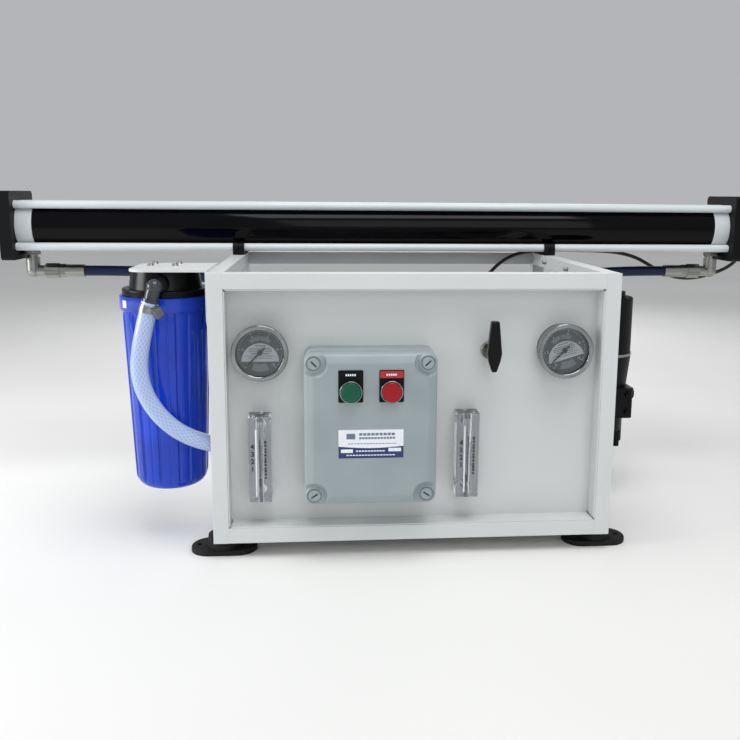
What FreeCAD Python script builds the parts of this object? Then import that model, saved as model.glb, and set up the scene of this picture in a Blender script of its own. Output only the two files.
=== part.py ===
import FreeCAD
import Part
import math
import os

# A frame-mounted reverse-osmosis water maker: an open welded frame with a recessed front
# panel, a slim filter on a side bracket, a pressure vessel held by tie rods across the top,
# a control box, gauges, flow meters, a valve lever, pumps and their hoses.
# Frame: origin on the floor under the centre of the frame, +X right, +Y to the back, +Z up.
# All sizes are in millimetres.

# ---------------------------------------------------------------- driving dimensions
frame_width = 530.0
frame_depth = 410.0
frame_height = 355.0
tube_size = 20.0
tube_wall = 2.0
tube_edge = 0.5
foot_height = 22.0
gap = 0.3
running_gap = 0.05
panel_recess = 28.0
panel_sheet = 1.5

foot_inset_x = 10.0
foot_inset_y = 36.0
foot_flange_length = 88.0
foot_flange_width = 50.0
foot_flange_thickness = 7.0
foot_body_radius = 23.0
foot_hole_radius = 3.5
foot_hole_spacing = 66.0
base_thickness = 3.0

bracket_thickness = 3.0
bracket_reach = 97.0
bracket_length = 110.0
bracket_front_inset = 13.0
bracket_drop = 85.0
filter_from_frame = 66.0
filter_axis_inset = 95.0
ring_radius = 60.5
ring_height = 19.0
head_radius = 46.0
head_height = 27.0
lip_height = 9.0
lip_radius = 57.0
sump_top_radius = 56.0
sump_bottom_radius = 46.5
sump_wall = 4.0
sump_length = 263.0
cartridge_radius = 31.0
cartridge_length = 248.0
elbow_reach = 80.0
elbow_angle = 16.0
feed_hose_radius = 11.0
thread_depth = 10.0
screw_shank = 2.4
bolt_shank = 3.0

vessel_radius = 38.0
vessel_wall = 4.5
vessel_centre_x = -19.5
vessel_span = 1166.0
vessel_axis_inset = 360.0
rod_radius = 6.3
rod_clearance = 0.77
collar_width = 26.0
collar_radius = vessel_radius + 1.6
rod_spacing = math.sqrt(2) * (collar_radius + rod_radius + rod_clearance)
vessel_lift = rod_spacing / 2 + 12.0
plate_size = 108.0
plate_thickness = 18.0
cap_radius = vessel_radius - 2.0
cap_thickness = 12.0
membrane_radius = 31.5
membrane_length = 1016.0
core_radius = 9.5
port_radius = 8.0
port_drop = 74.0
elbow_radius = 11.0
pressure_hose_radius = 8.4
permeate_radius = 3.0
clip_width = 18.0
clip_radius = 8.4

box_width = 168.0
box_height = 196.0
box_depth = 62.0
box_wall = 3.0
box_centre_x = -61.0
box_centre_lift = 160.0
lid_depth = 22.0
lid_corner = 11.0
lid_screw_radius = 7.5
lid_screw_inset = 12.5
button_radius = 11.0
bezel_ring_radius = 14.2
bezel_ring_wall = 1.5
button_travel = 3.0
button_spacing = 51.0
button_centre_lift = 211.0
legend_width = 31.0
legend_height = 41.0
lid_wall = 3.0
cable_hole_radius = 10.0

gauge_left_x = -201.0
gauge_right_x = 197.0
gauge_lift = 252.2
gauge_case_radius = 33.5
bezel_radius = 36.5
bezel_proud = 24.0
gauge_back = 26.0
needle_start_turn = -135.0

meter_left_x = -203.0
meter_right_x = 69.0
meter_width = 29.0
meter_depth = 28.0
meter_height = 114.0
meter_left_lift = 113.0
meter_right_lift = 114.0
meter_port_offset = 44.0
meter_port_radius = 7.0

valve_x = 98.5
valve_lift = 251.0
lever_length = 66.0
lever_width = 19.0
lever_thickness = 10.0
valve_collar_radius = 11.5
valve_stem_radius = 8.0

motor_radius = 62.0
motor_length = 200.0
motor_left = -20.0
motor_axis_inset = 297.0
motor_lift = 75.0
shaft_radius = 9.5
fan_cover_length = 45.0
crankcase_length = 110.0
crankcase_width = 90.0
manifold_depth = 45.0
outlet_x = -110.0
outlet_y = 34.0
outlet_top = 160.0

booster_radius = 42.0
booster_from_frame = 62.0
booster_inset = 240.0
booster_lift = 209.0
booster_length = 88.0
nozzle_offset = 28.0

# ---------------------------------------------------------------- places that follow
left = -frame_width / 2
right = frame_width / 2
front = -frame_depth / 2
back = frame_depth / 2
under = foot_height
top = foot_height + frame_height
panel_face = front + panel_recess
panel_back = panel_face + panel_sheet

X = FreeCAD.Vector(1, 0, 0)
Y = FreeCAD.Vector(0, 1, 0)
Z = FreeCAD.Vector(0, 0, 1)


def at(x, y, z):
    return FreeCAD.Vector(x, y, z)


def block(x0, x1, y0, y1, z0, z1):
    return Part.makeBox(x1 - x0, y1 - y0, z1 - z0, at(x0, y0, z0))


def rod(radius, length, start, direction):
    return Part.makeCylinder(radius, length, start, direction)


def pipe(outer, inner, length, start, direction):
    unit = FreeCAD.Vector(direction).normalize()
    bore = rod(inner, length + 2, start - unit, direction)
    return rod(outer, length, start, direction).cut(bore)


def cone(r0, r1, length, start, direction):
    return Part.makeCone(r0, r1, length, start, direction)


def hexagon(across_flats, length, start, direction):
    corner = across_flats / math.sqrt(3)
    points = [at(corner * math.cos(math.radians(60 * k)), corner * math.sin(math.radians(60 * k)), 0)
              for k in range(7)]
    solid = Part.Face(Part.makePolygon(points)).extrude(at(0, 0, length))
    solid.Placement = FreeCAD.Placement(start, FreeCAD.Rotation(Z, direction))
    return solid


def fuse(solids):
    whole = solids[0]
    for solid in solids[1:]:
        whole = whole.fuse(solid)
    return whole.removeSplitter()


def rounded_plate(x0, x1, z0, z1, y0, y1, corner):
    """A plate in the XZ plane with four rounded corners."""
    body = block(x0, x1, y0, y1, z0, z1)
    upright = [e for e in body.Edges if abs(e.Vertexes[0].Y - e.Vertexes[1].Y) > abs(y1 - y0) / 2]
    return body.makeFillet(corner, upright)


def soften(solid, radius, test):
    """Fillets the edges that pass the test."""
    return solid.makeFillet(radius, [e for e in solid.Edges if test(e)])


def save(name, solids):
    shape = solids[0] if len(solids) == 1 else Part.makeCompound(solids)
    shape.exportStep("parts/" + name + ".step")


def arc_path(points):
    """Straight runs joined by tangent arcs, each as large as its two runs allow."""
    edges = []
    radii = []
    start = points[0]
    for before, here, after in zip(points, points[1:], points[2:]):
        incoming = (here - before).normalize()
        outgoing = (after - here).normalize()
        turn = incoming.getAngle(outgoing)
        reach = 0.45 * min((here - before).Length, (after - here).Length)
        radii.append(reach / math.tan(turn / 2))
        enter = here - incoming * reach
        leave = here + outgoing * reach
        middle_way = (outgoing - incoming).normalize()
        sagitta = radii[-1] * (1 / math.cos(turn / 2) - 1)
        edges.append(Part.LineSegment(start, enter).toShape())
        edges.append(Part.Arc(enter, here + middle_way * sagitta, leave).toShape())
        start = leave
    edges.append(Part.LineSegment(start, points[-1]).toShape())
    return Part.Wire(edges), radii


def hose(name, points, radius):
    """A round hose along a route; prints its smallest bend radius and checks its volume."""
    path, radii = arc_path([at(*p) for p in points])
    ring = Part.Wire(Part.Circle(at(*points[0]), at(*points[1]) - at(*points[0]), radius).toShape())
    solid = path.makePipeShell([ring], True, False)
    expected = math.pi * radius ** 2 * path.Length
    print(name, "length", round(path.Length), "radii", [round(r) for r in radii],
          "volume ratio", round(solid.Volume / expected, 4))
    return solid


# ---------------------------------------------------------------- frame
def frame_tube(length, start, direction):
    """A hollow square tube with softened long edges; start is the centre of one end."""
    half = tube_size / 2
    body = block(-half, half, -half, half, 0, length)
    body = soften(body, tube_edge, lambda e: abs(e.Vertexes[0].Z - e.Vertexes[1].Z) > length / 2)
    inner = half - tube_wall
    body = body.cut(block(-inner, inner, -inner, inner, -1, length + 1))
    body.Placement = FreeCAD.Placement(start, FreeCAD.Rotation(Z, direction))
    return body


def make_frame():
    half = tube_size / 2
    posts = []
    for x in (left + half, right - half):
        for y in (front + half, back - half):
            post = frame_tube(frame_height, at(x, y, under), Z)
            inner = half - tube_wall
            cap = block(x - inner, x + inner, y - inner, y + inner, top - tube_wall, top)
            posts.append(fuse([post, cap]))
    rails = []
    for z in (under + half, top - half):
        for y in (front + half, back - half):
            rails.append(frame_tube(frame_width - 2 * tube_size, at(left + tube_size, y, z), X))
        for x in (left + half, right - half):
            rail = frame_tube(frame_depth - 2 * tube_size, at(x, front + tube_size, z), Y)
            rails.append(rail)
    return posts + rails


def make_panel():
    clear = 0.2
    x0 = left + tube_size + clear
    x1 = right - tube_size - clear
    z0 = under + tube_size + clear
    z1 = top - tube_size - clear
    notch = 3.0
    sheet = block(x0, x1, panel_face, panel_back, z0, z1)
    for x in (x0, x1):
        for z in (z0, z1):
            corner = block(x - notch, x + notch, panel_face - 1, panel_back + 1, z - notch, z + notch)
            sheet = sheet.cut(corner)
    walls = [sheet]
    lip = front + 1.0
    walls.append(block(x0 + notch, x1 - notch, lip, panel_back, z0, z0 + panel_sheet))
    walls.append(block(x0 + notch, x1 - notch, lip, panel_back, z1 - panel_sheet, z1))
    walls.append(block(x0, x0 + panel_sheet, lip, panel_back, z0 + notch, z1 - notch))
    walls.append(block(x1 - panel_sheet, x1, lip, panel_back, z0 + notch, z1 - notch))
    panel = fuse(walls)
    holes = []
    for x in (gauge_left_x, gauge_right_x):
        holes.append((x, gauge_lift, gauge_case_radius + 0.5))
    for x, lift in ((meter_left_x, meter_left_lift), (meter_right_x, meter_right_lift)):
        for side in (-1, 1):
            holes.append((x, lift + side * meter_port_offset, meter_port_radius + gap))
    holes.append((valve_x, valve_lift, valve_stem_radius + gap))
    holes.append((box_centre_x, box_centre_lift, cable_hole_radius))
    for x, lift, radius in holes:
        panel = panel.cut(rod(radius, 10, at(x, panel_face - 2, under + lift), Y))
    save("front_panel", [panel])


def make_base():
    plate = block(left + 3, right - 3, panel_back + 2, back - tube_size - 1,
                  under + tube_size, under + tube_size + base_thickness)
    save("base_plate", [plate])


def foot_places():
    return [(x, y) for x in (left + foot_inset_x, right - foot_inset_x)
            for y in (front + foot_inset_y, back - foot_inset_y)]


def make_feet():
    feet = []
    for x, y in foot_places():
        side = foot_flange_width / 2
        reach = foot_flange_length / 2 - side
        flange = fuse([block(x - reach, x + reach, y - side, y + side, 0, foot_flange_thickness),
                       rod(side, foot_flange_thickness, at(x - reach, y, 0), Z),
                       rod(side, foot_flange_thickness, at(x + reach, y, 0), Z)])
        flange = soften(flange, 2.0, lambda e: min(v.Z for v in e.Vertexes) > foot_flange_thickness - 0.1)
        body = cone(foot_body_radius, foot_body_radius - 2, foot_height - foot_flange_thickness,
                    at(x, y, foot_flange_thickness), Z)
        foot = fuse([flange, body])
        for s in (-1, 1):
            foot = foot.cut(rod(foot_hole_radius, 30, at(x + s * foot_hole_spacing / 2, y, -1), Z))
        feet.append(foot)
    return feet


# ---------------------------------------------------------------- filter
filter_x = left - filter_from_frame
filter_y = front + filter_axis_inset
head_bottom = top - head_height - lip_height
elbow_y = filter_y - elbow_reach
elbow_z = top - 18.0


def make_bracket():
    y0 = front + bracket_front_inset
    y1 = y0 + bracket_length
    x0 = left - bracket_thickness - bracket_reach
    shelf = block(x0, left, y0, y1, top, top + bracket_thickness)
    shelf = soften(shelf, 22.0, lambda e: e.Length < bracket_thickness + 0.1
                   and e.Vertexes[0].X < x0 + 1)
    wall = block(left - bracket_thickness, left, y0, y1, top - bracket_drop, top + bracket_thickness)
    cut = 24.0
    corner = Part.Face(Part.makePolygon([at(left - 20, y0 - 1, top - bracket_drop - 1),
                                         at(left - 20, y0 + cut, top - bracket_drop - 1),
                                         at(left - 20, y0 - 1, top - bracket_drop + cut),
                                         at(left - 20, y0 - 1, top - bracket_drop - 1)]))
    wall = wall.cut(corner.extrude(at(40, 0, 0)))
    bracket = fuse([shelf, wall])
    for x, y in filter_screw_places():
        bracket = bracket.cut(rod(screw_shank + gap, 10, at(x, y, top - 2), Z))
    for y, z in bracket_bolt_places():
        bracket = bracket.cut(rod(bolt_shank + gap, 10, at(left - 6, y, z), X))
    save("filter_bracket", [bracket])


def filter_screw_places():
    return [(filter_x + sx * 16.0, filter_y + sy * 16.0) for sx in (-1, 1) for sy in (-1, 1)]


def bracket_bolt_places():
    return [(filter_y - 35.0, top - tube_size / 2), (filter_y + 25.0, top - tube_size / 2)]


def make_head():
    foot = at(filter_x, filter_y, head_bottom + lip_height)
    body = cone(head_radius + 2, head_radius - 2, head_height, foot, Z)
    lip = rod(lip_radius, lip_height, at(filter_x, filter_y, head_bottom), Z)
    lip = soften(lip, 2.0, lambda e: e.Vertexes[0].Z > head_bottom + lip_height - 0.1)
    port_length = head_radius + 13
    solids = [body, lip]
    for side in (-1, 1):
        solids.append(rod(13.0, port_length, at(filter_x, filter_y, elbow_z - 0.5), at(0, side, 0)))
    spigot_foot = at(filter_x, filter_y, head_bottom - thread_depth)
    spigot = rod(sump_top_radius - sump_wall - 3, thread_depth, spigot_foot, Z)
    solids.append(spigot)
    head = fuse(solids)
    for x, y in filter_screw_places():
        head = head.cut(rod(screw_shank, 12, at(x, y, top - 12), Z))
    head = head.cut(rod(24.0, thread_depth + 4, at(filter_x, filter_y, head_bottom - thread_depth - 1), Z))
    save("filter_head", [head])
    tail = fuse([hexagon(24, 9, at(filter_x, filter_y + port_length, elbow_z - 0.5), Y),
                 rod(8.0, 34, at(filter_x, filter_y + port_length, elbow_z - 0.5), Y)])
    tail = tail.cut(rod(5.5, 60, at(filter_x, filter_y + port_length - 1, elbow_z - 0.5), Y))
    face = filter_y - port_length
    way = at(-math.sin(math.radians(elbow_angle)), 0, -math.cos(math.radians(elbow_angle)))
    centre = at(filter_x, elbow_y, elbow_z - 0.5)
    elbow = fuse([rod(10.0, face - elbow_y, centre, Y), Part.makeSphere(10.0, centre),
                  rod(9.0, 20, centre, way), rod(11.0, 4, centre + way * 16, way)])
    save("filter_fittings", [elbow, tail])
    hose_start = centre + way * 20
    clamp = pipe(feed_hose_radius + 1.2, feed_hose_radius, 9, hose_start + way * 4, way)
    housing = block(-7, 7, -5, 5, 0, 8)
    side = at(math.cos(math.radians(35)) * way.z * -1, -math.sin(math.radians(35)),
              math.cos(math.radians(35)) * way.x)
    housing.Placement = FreeCAD.Placement(hose_start + way * 8.5 + side * (feed_hose_radius + 0.6),
                                          FreeCAD.Rotation(Z, side))
    clamp = fuse([clamp, housing.cut(rod(feed_hose_radius, 60, hose_start - way * 20, way))])
    save("hose_clamp", [clamp])
    return hose_start, way


def make_sump():
    ring_top = head_bottom - gap
    inner_top = sump_top_radius - sump_wall
    lower = cone(sump_bottom_radius, sump_top_radius, sump_length - ring_height,
                 at(filter_x, filter_y, ring_top - sump_length), Z)
    lower = soften(lower, 14.0, lambda e: max(v.Z for v in e.Vertexes) < ring_top - sump_length + 0.1
                   and len(e.Vertexes) == 1)
    ring = rod(ring_radius, ring_height, at(filter_x, filter_y, ring_top - ring_height), Z)
    ring = soften(ring, 2.0, lambda e: len(e.Vertexes) == 1)
    body = fuse([lower, ring])
    cavity = cone(sump_bottom_radius - sump_wall, inner_top, sump_length - sump_wall,
                  at(filter_x, filter_y, ring_top - sump_length + sump_wall), Z)
    body = body.cut(cavity)
    groove = pipe(inner_top + 3.2, inner_top - 2, 2.6, at(filter_x, filter_y, ring_top - 2.6), Z)
    body = body.cut(groove)
    rib_count = 12
    for k in range(rib_count):
        rib = block(-2.0, 2.0, sump_bottom_radius - 4, sump_top_radius + 1.5, ring_top - sump_length + 40,
                    ring_top - ring_height)
        slope = (sump_top_radius - sump_bottom_radius) / (sump_length - ring_height)
        keep = cone(sump_bottom_radius + 1.4, sump_top_radius + 1.4, sump_length - ring_height,
                    at(0, 0, ring_top - sump_length), Z)
        hollow = cone(sump_bottom_radius - 2, sump_top_radius - 2, sump_length - ring_height,
                      at(0, 0, ring_top - sump_length), Z)
        rib = rib.common(keep).cut(hollow)
        rib.rotate(at(0, 0, 0), Z, 360.0 / rib_count * (k + 0.5))
        rib.translate(at(filter_x, filter_y, 0))
        body = body.fuse(rib)
    save("filter_sump", [body.removeSplitter()])
    seal = Part.makeTorus(inner_top + 1.6, 1.25, at(filter_x, filter_y, ring_top - 1.3), Z)
    save("sump_seal", [seal])
    floor = ring_top - sump_length + sump_wall
    cartridge = pipe(cartridge_radius, 12.0, cartridge_length, at(filter_x, filter_y, floor + gap), Z)
    save("filter_cartridge", [cartridge])


# ---------------------------------------------------------------- pressure vessel
vessel_y = front + vessel_axis_inset
vessel_z = top + vessel_lift
vessel_left = vessel_centre_x - vessel_span / 2
vessel_right = vessel_centre_x + vessel_span / 2
port_left_x = vessel_left + collar_width / 2
port_right_x = vessel_right - collar_width / 2
hose_z = vessel_z - port_drop


def rod_places():
    half = rod_spacing / 2
    return [(vessel_y + sy * half, vessel_z + sz * half) for sy in (-1, 1) for sz in (-1, 1)]


def make_vessel():
    axis = at(vessel_left, vessel_y, vessel_z)
    tube = pipe(vessel_radius, vessel_radius - vessel_wall, vessel_span, axis, X)
    collars = []
    elbows = []
    plates = []
    plugs = []
    seals = []
    bore = vessel_radius - vessel_wall
    for end, out, port_x in ((vessel_left, -1, port_left_x), (vessel_right, 1, port_right_x)):
        inward = at(-out, 0, 0)
        outward = at(out, 0, 0)
        collar = pipe(collar_radius, vessel_radius, collar_width, at(end, vessel_y, vessel_z), inward)
        collar = soften(collar, 1.0, lambda e: abs(e.Length - 2 * math.pi * collar_radius) < 0.1)
        hole = rod(port_radius, vessel_radius + 10, at(port_x, vessel_y, vessel_z), at(0, 0, -1))
        collars.append(collar.cut(hole))
        tube = tube.cut(hole)
        plate = block(-plate_thickness, 0, vessel_y - plate_size / 2, vessel_y + plate_size / 2,
                      vessel_z - plate_size / 2, vessel_z + plate_size / 2)
        if out > 0:
            plate.translate(at(plate_thickness, 0, 0))
        plate.translate(at(end, 0, 0))
        plate = soften(plate, 8.0, lambda e: abs(e.Vertexes[0].X - e.Vertexes[1].X) > 1)
        outer_face = end + out * plate_thickness
        cap = cone(cap_radius, cap_radius - 4, cap_thickness, at(outer_face, vessel_y, vessel_z), outward)
        plate = fuse([plate, cap])
        for y, z in rod_places():
            plate = plate.cut(rod(rod_radius - 1.3, 80, at(end - 40, y, z), X))
        plate = plate.cut(rod(6.5, 80, at(end - 40, vessel_y, vessel_z), X))
        plates.append(plate)
        plug_length = 34.0
        plug = rod(bore - running_gap, plug_length, at(end, vessel_y, vessel_z), inward)
        plug = plug.cut(rod(6.5, plug_length + 2, at(end + out, vessel_y, vessel_z), inward))
        for step in (24.0, 29.0):
            plug = plug.cut(pipe(bore + 1, bore - 2.6, 2.8, at(end - out * step, vessel_y, vessel_z), inward))
            middle = at(end - out * (step + 1.4), vessel_y, vessel_z)
            seals.append(Part.makeTorus(bore - 1.35, 1.2, middle, X))
        plug = plug.cut(hole)
        plugs.append(plug)
        elbow_length = port_drop - collar_radius - 0.8
        upright = rod(port_radius - running_gap, elbow_length + 14, at(port_x, vessel_y, hose_z), Z)
        lock = hexagon(22, 7, at(port_x, vessel_y, vessel_z - collar_radius - 8.0), Z)
        corner = Part.makeSphere(elbow_radius, at(port_x, vessel_y, hose_z))
        boss = rod(elbow_radius, 22, at(port_x, vessel_y, hose_z), Z)
        arm = rod(port_radius + 1.0, 20, at(port_x, vessel_y, hose_z), inward)
        elbows.append(fuse([upright, corner, boss, arm, lock]))
        nut_start = port_x - out * 20
        elbows.append(hexagon(21, 22, at(nut_start, vessel_y, hose_z), inward))
        neck_start = nut_start - out * 22
        elbows.append(hexagon(19, 10, at(neck_start, vessel_y, hose_z), inward))
        ferrule_start = neck_start - out * 10
        elbows.append(rod(pressure_hose_radius + 2.0, 30, at(ferrule_start, vessel_y, hose_z), inward))
    save("vessel_tube", [tube])
    save("vessel_collars", collars)
    save("end_plates", plates)
    save("vessel_end_plugs", plugs)
    save("vessel_seals", seals)
    save("pressure_fittings", elbows)
    rods = []
    nuts = []
    stud = rod_radius - 1.3
    for y, z in rod_places():
        tie = rod(rod_radius, vessel_span, at(vessel_left, y, z), X)
        reach = plate_thickness + 13.0
        thread = rod(stud - running_gap, vessel_span + 2 * reach, at(vessel_left - reach, y, z), X)
        rods.append(fuse([tie, thread]))
        for end, out in ((vessel_left - plate_thickness, -1), (vessel_right + plate_thickness, 1)):
            nut = hexagon(16, 9, at(end, y, z), at(out, 0, 0))
            nuts.append(nut.cut(rod(stud + 0.05, 30, at(end - 15, y, z), X)))
    save("tie_rods", rods)
    save("tie_rod_nuts", nuts)
    element = pipe(membrane_radius, core_radius, membrane_length,
                   at(vessel_centre_x - membrane_length / 2, vessel_y, vessel_z), X)
    save("membrane_element", [element])


def make_permeate_elbow():
    start = at(vessel_right + plate_thickness + cap_thickness, vessel_y, vessel_z)
    shank = plate_thickness + cap_thickness
    fitting = fuse([rod(6.4, shank, start - X * shank, X),
                    hexagon(17, 6, start, X), rod(6.0, 14, start, X),
                    Part.makeSphere(6.5, start + X * 14), rod(6.5, 16, start + X * 14, at(0, 0, -1))])
    save("permeate_fitting", [fitting])
    return start + X * 14 - Z * 16


def clip_places():
    return [(x, y) for x in (left + tube_size / 2, right - tube_size / 2)
            for y in (vessel_y - rod_spacing / 2, vessel_y + rod_spacing / 2)]


def make_clips():
    clips = []
    rod_z = vessel_z - rod_spacing / 2
    for x, y in clip_places():
        half = clip_width / 2
        body = block(x - half, x + half, y - clip_radius, y + clip_radius, top, rod_z)
        crown = rod(clip_radius, clip_width, at(x - half, y, rod_z), X)
        clip = fuse([body, crown])
        waist = pipe(20.0, clip_radius - 0.9, 4.0, at(x - 2.0, y, rod_z), X)
        clip = clip.cut(waist.common(block(x - 3, x + 3, y - 20, y + 20, rod_z - 4, rod_z + 20)))
        clip = clip.cut(rod(rod_radius, clip_width + 2, at(x - half - 1, y, rod_z), X))
        clips.append(clip)
    save("rod_clips", clips)


def make_hoses(hose_start, way, permeate_start):
    below = hose_start + way * 54
    feed = hose("feed_hose", [tuple(hose_start), tuple(below), (-355, -189, 238), (-336, -185, 194),
                              (-303, -177, 161), (-258, -165, 143), (-205, -155, 135), (-150, -139, 127),
                              (-107, -107, 121), (-90, -60, 115), (-90, -10, 115)], feed_hose_radius)
    save("feed_hose", [feed])
    end_gap = 82.0
    hose_left = hose("pressure_hose_left",
                     [(port_left_x + end_gap, vessel_y, hose_z), (-425, vessel_y, hose_z), (-345, 152, 342),
                      (-275, 141, 332), (-222, 122, 316), (-149, 65, 284), (-123, 43, 247),
                      (outlet_x, outlet_y, 204), (outlet_x, outlet_y, outlet_top)],
                     pressure_hose_radius)
    hose_right = hose("pressure_hose_right",
                      [(port_right_x - end_gap, vessel_y, hose_z), (390, vessel_y, hose_z), (315, 152, 342),
                       (250, 141, 334), (192, 118, 322), (146, 82, 306), (112, 36, 288),
                       (valve_x, -20, 273), (valve_x, -80, 273)],
                      pressure_hose_radius)
    save("pressure_hose_left", [hose_left])
    save("pressure_hose_right", [hose_right])
    tube_route = [tuple(permeate_start), tuple(permeate_start - Z * 28), (590, 163, 354),
                  (556, 170, 339), (520, 174, 332), (484, 176, 338), (455, 176, 354), (424, 174, 371),
                  (385, 172, 380), (325, 172, 382), (245, 172, 382.5), (200, 165, 374),
                  (164, 148, 350), (132, 118, 312), (110, 78, 266), (98, 28, 226),
                  (86, -24, 185), (76, -66, 140), (70, -98, 105.5), (69, -126, 93.5),
                  (69, -149, 92)]
    tube = hose("permeate_tube", tube_route, permeate_radius)
    save("permeate_tube", [tube])


# ---------------------------------------------------------------- control box
box_left = box_centre_x - box_width / 2
box_right = box_centre_x + box_width / 2
box_low = under + box_centre_lift - box_height / 2
box_high = under + box_centre_lift + box_height / 2
lid_face = panel_face - box_depth
lid_back = lid_face + lid_depth
button_z = under + button_centre_lift


def lid_screw_places():
    return [(box_centre_x + sx * (box_width / 2 - lid_screw_inset),
             under + box_centre_lift + sz * (box_height / 2 - lid_screw_inset))
            for sz in (1, -1) for sx in (-1, 1)]


def button_places():
    return [box_centre_x + s * button_spacing / 2 for s in (-1, 1)]


def make_box():
    base = rounded_plate(box_left, box_right, box_low, box_high, lid_back + 1.2, panel_face, lid_corner)
    inner = rounded_plate(box_left + box_wall, box_right - box_wall, box_low + box_wall, box_high - box_wall,
                          lid_back, panel_face - box_wall, lid_corner - box_wall)
    base = base.cut(inner)
    posts = []
    for x, z in lid_screw_places():
        post_length = panel_face - box_wall - lid_back - 1.2
        post = rod(lid_screw_radius + 1.5, post_length, at(x, lid_back + 1.2, z), Y)
        posts.append(post.common(rounded_plate(box_left, box_right, box_low, box_high,
                                               lid_back, panel_face, lid_corner)))
    base = fuse([base] + posts)
    for x, z in lid_screw_places():
        base = base.cut(rod(3.4, 18, at(x, lid_back, z), Y))
    cable_hole = at(box_centre_x, panel_face - 6, under + box_centre_lift)
    base = base.cut(rod(cable_hole_radius - 2, 10, cable_hole, Y))
    save("box_base", [base])
    gland_centre = at(box_centre_x, panel_face - box_wall, under + box_centre_lift)
    gland = fuse([rod(cable_hole_radius - 2 - running_gap, 26, gland_centre - Y * 3, Y),
                  hexagon(24, 5, gland_centre + Y * (box_wall + panel_sheet), Y),
                  hexagon(24, 4, gland_centre - Y * 4, Y)])
    save("cable_gland", [gland.cut(rod(4.0, 60, gland_centre - Y * 10, Y))])
    contactor = fuse([block(box_centre_x - 60, box_centre_x - 15, panel_face - 34, panel_face - box_wall,
                            under + 90, under + 160),
                      block(box_centre_x - 56, box_centre_x - 19, panel_face - 37, panel_face - 34,
                            under + 105, under + 145)])
    save("contactor", [contactor])


def make_lid():
    lid = rounded_plate(box_left, box_right, box_low, box_high, lid_face, lid_back, lid_corner)
    lid = soften(lid, 5.0, lambda e: max(v.Y for v in e.Vertexes) < lid_face + 0.1)
    hollow = rounded_plate(box_left + lid_wall, box_right - lid_wall, box_low + lid_wall, box_high - lid_wall,
                           lid_face + lid_wall, lid_back + 1, lid_corner - lid_wall)
    for x, z in lid_screw_places():
        hollow = hollow.cut(rod(lid_screw_radius + 3.5, 40, at(x, lid_face - 1, z), Y))
        corner_x = x + (8 if x > box_centre_x else -8)
        corner_z = z + (8 if z > under + box_centre_lift else -8)
        hollow = hollow.cut(block(min(x, corner_x) - 3, max(x, corner_x) + 3, lid_face, lid_back + 2,
                                  min(z, corner_z) - 3, max(z, corner_z) + 3))
    lid = lid.cut(hollow)
    for x, z in lid_screw_places():
        lid = lid.cut(rod(lid_screw_radius + gap, 12, at(x, lid_face - 1, z), Y))
        lid = lid.cut(rod(3.4, 60, at(x, lid_face - 1, z), Y))
    for x in button_places():
        lid = lid.cut(rod(button_radius + 0.3, 40, at(x, lid_face - 5, button_z), Y))
    save("box_lid", [lid])
    rim = rounded_plate(box_left + 0.4, box_right - 0.4, box_low + 0.4, box_high - 0.4,
                        lid_back, lid_back + 1.2, lid_corner)
    rim = rim.cut(rounded_plate(box_left + 2.8, box_right - 2.8, box_low + 2.8, box_high - 2.8,
                                lid_back - 1, lid_back + 3, lid_corner - 2.4))
    save("lid_gasket", [rim.cut(block(box_left, box_right, lid_back + 0.9, lid_back + 3, box_low, box_high))])
    for index, (x, z) in enumerate(lid_screw_places()):
        head = rod(lid_screw_radius, 8, at(x, lid_face + 2.2, z), Y)
        head = soften(head, 1.0, lambda e: len(e.Vertexes) == 1 and e.Vertexes[0].Y < lid_face + 2.3)
        screw = fuse([head, rod(3.0, lid_depth, at(x, lid_face + 9, z), Y)])
        slot = block(x - 5.0, x + 5.0, lid_face, lid_face + 4.2, z - 1.0, z + 1.0)
        slot.rotate(at(x, 0, z), Y, (45, -45, -35, 35)[index])
        place = ("upper_left", "upper_right", "lower_left", "lower_right")[index]
        save("lid_screw_" + place, [screw.cut(slot)])


def make_buttons():
    plates = []
    bezels = []
    blocks = []
    for x, name in zip(button_places(), ("start_button", "stop_button")):
        legend_top = button_z + legend_height - 14.0
        half = legend_width / 2
        plate = rounded_plate(x - half, x + half, legend_top - legend_height, legend_top,
                              lid_face - 1.0, lid_face, 1.5)
        plates.append(plate.cut(rod(button_radius + 0.3, 10, at(x, lid_face - 5, button_z), Y)))
        ring_inner = bezel_ring_radius - bezel_ring_wall
        bore = button_radius - bezel_ring_wall
        floor = lid_face - 2.6
        ring = pipe(bezel_ring_radius, ring_inner, 6.0, at(x, lid_face - 7.0, button_z), Y)
        ring = soften(ring, 0.6, lambda e: len(e.Vertexes) == 1 and e.Vertexes[0].Y < lid_face - 6.9)
        seat = pipe(bezel_ring_radius, bore, 1.6, at(x, floor, button_z), Y)
        sleeve = pipe(button_radius, bore, 9.6 + lid_wall, at(x, floor, button_z), Y)
        bezels.append(fuse([ring, seat, sleeve]))
        cap_back = floor - button_travel - gap
        cap_front = lid_face - 9.5
        cap = rod(ring_inner - gap, cap_back - cap_front, at(x, cap_front, button_z), Y)
        cap = soften(cap, 1.4, lambda e: len(e.Vertexes) == 1 and e.Vertexes[0].Y < cap_front + 0.1)
        plunger = rod(bore - gap, 6.0, at(x, cap_back - 1.0, button_z), Y)
        stem = fuse([plunger, rod(4.0, 11.0, at(x, lid_face - 3.0, button_z), Y)])
        save(name, [fuse([cap, stem])])
        housing = block(x - 14, x + 14, lid_face + 10.0, lid_face + 38.0, button_z - 19, button_z + 19)
        blocks.append(housing.cut(rod(5.0, 14, at(x, lid_face + 9, button_z), Y)))
    save("legend_plates", plates)
    save("button_bezels", bezels)
    save("contact_blocks", blocks)


# ---------------------------------------------------------------- gauges
gauge_z = under + gauge_lift
bezel_face = panel_face - bezel_proud


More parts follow.
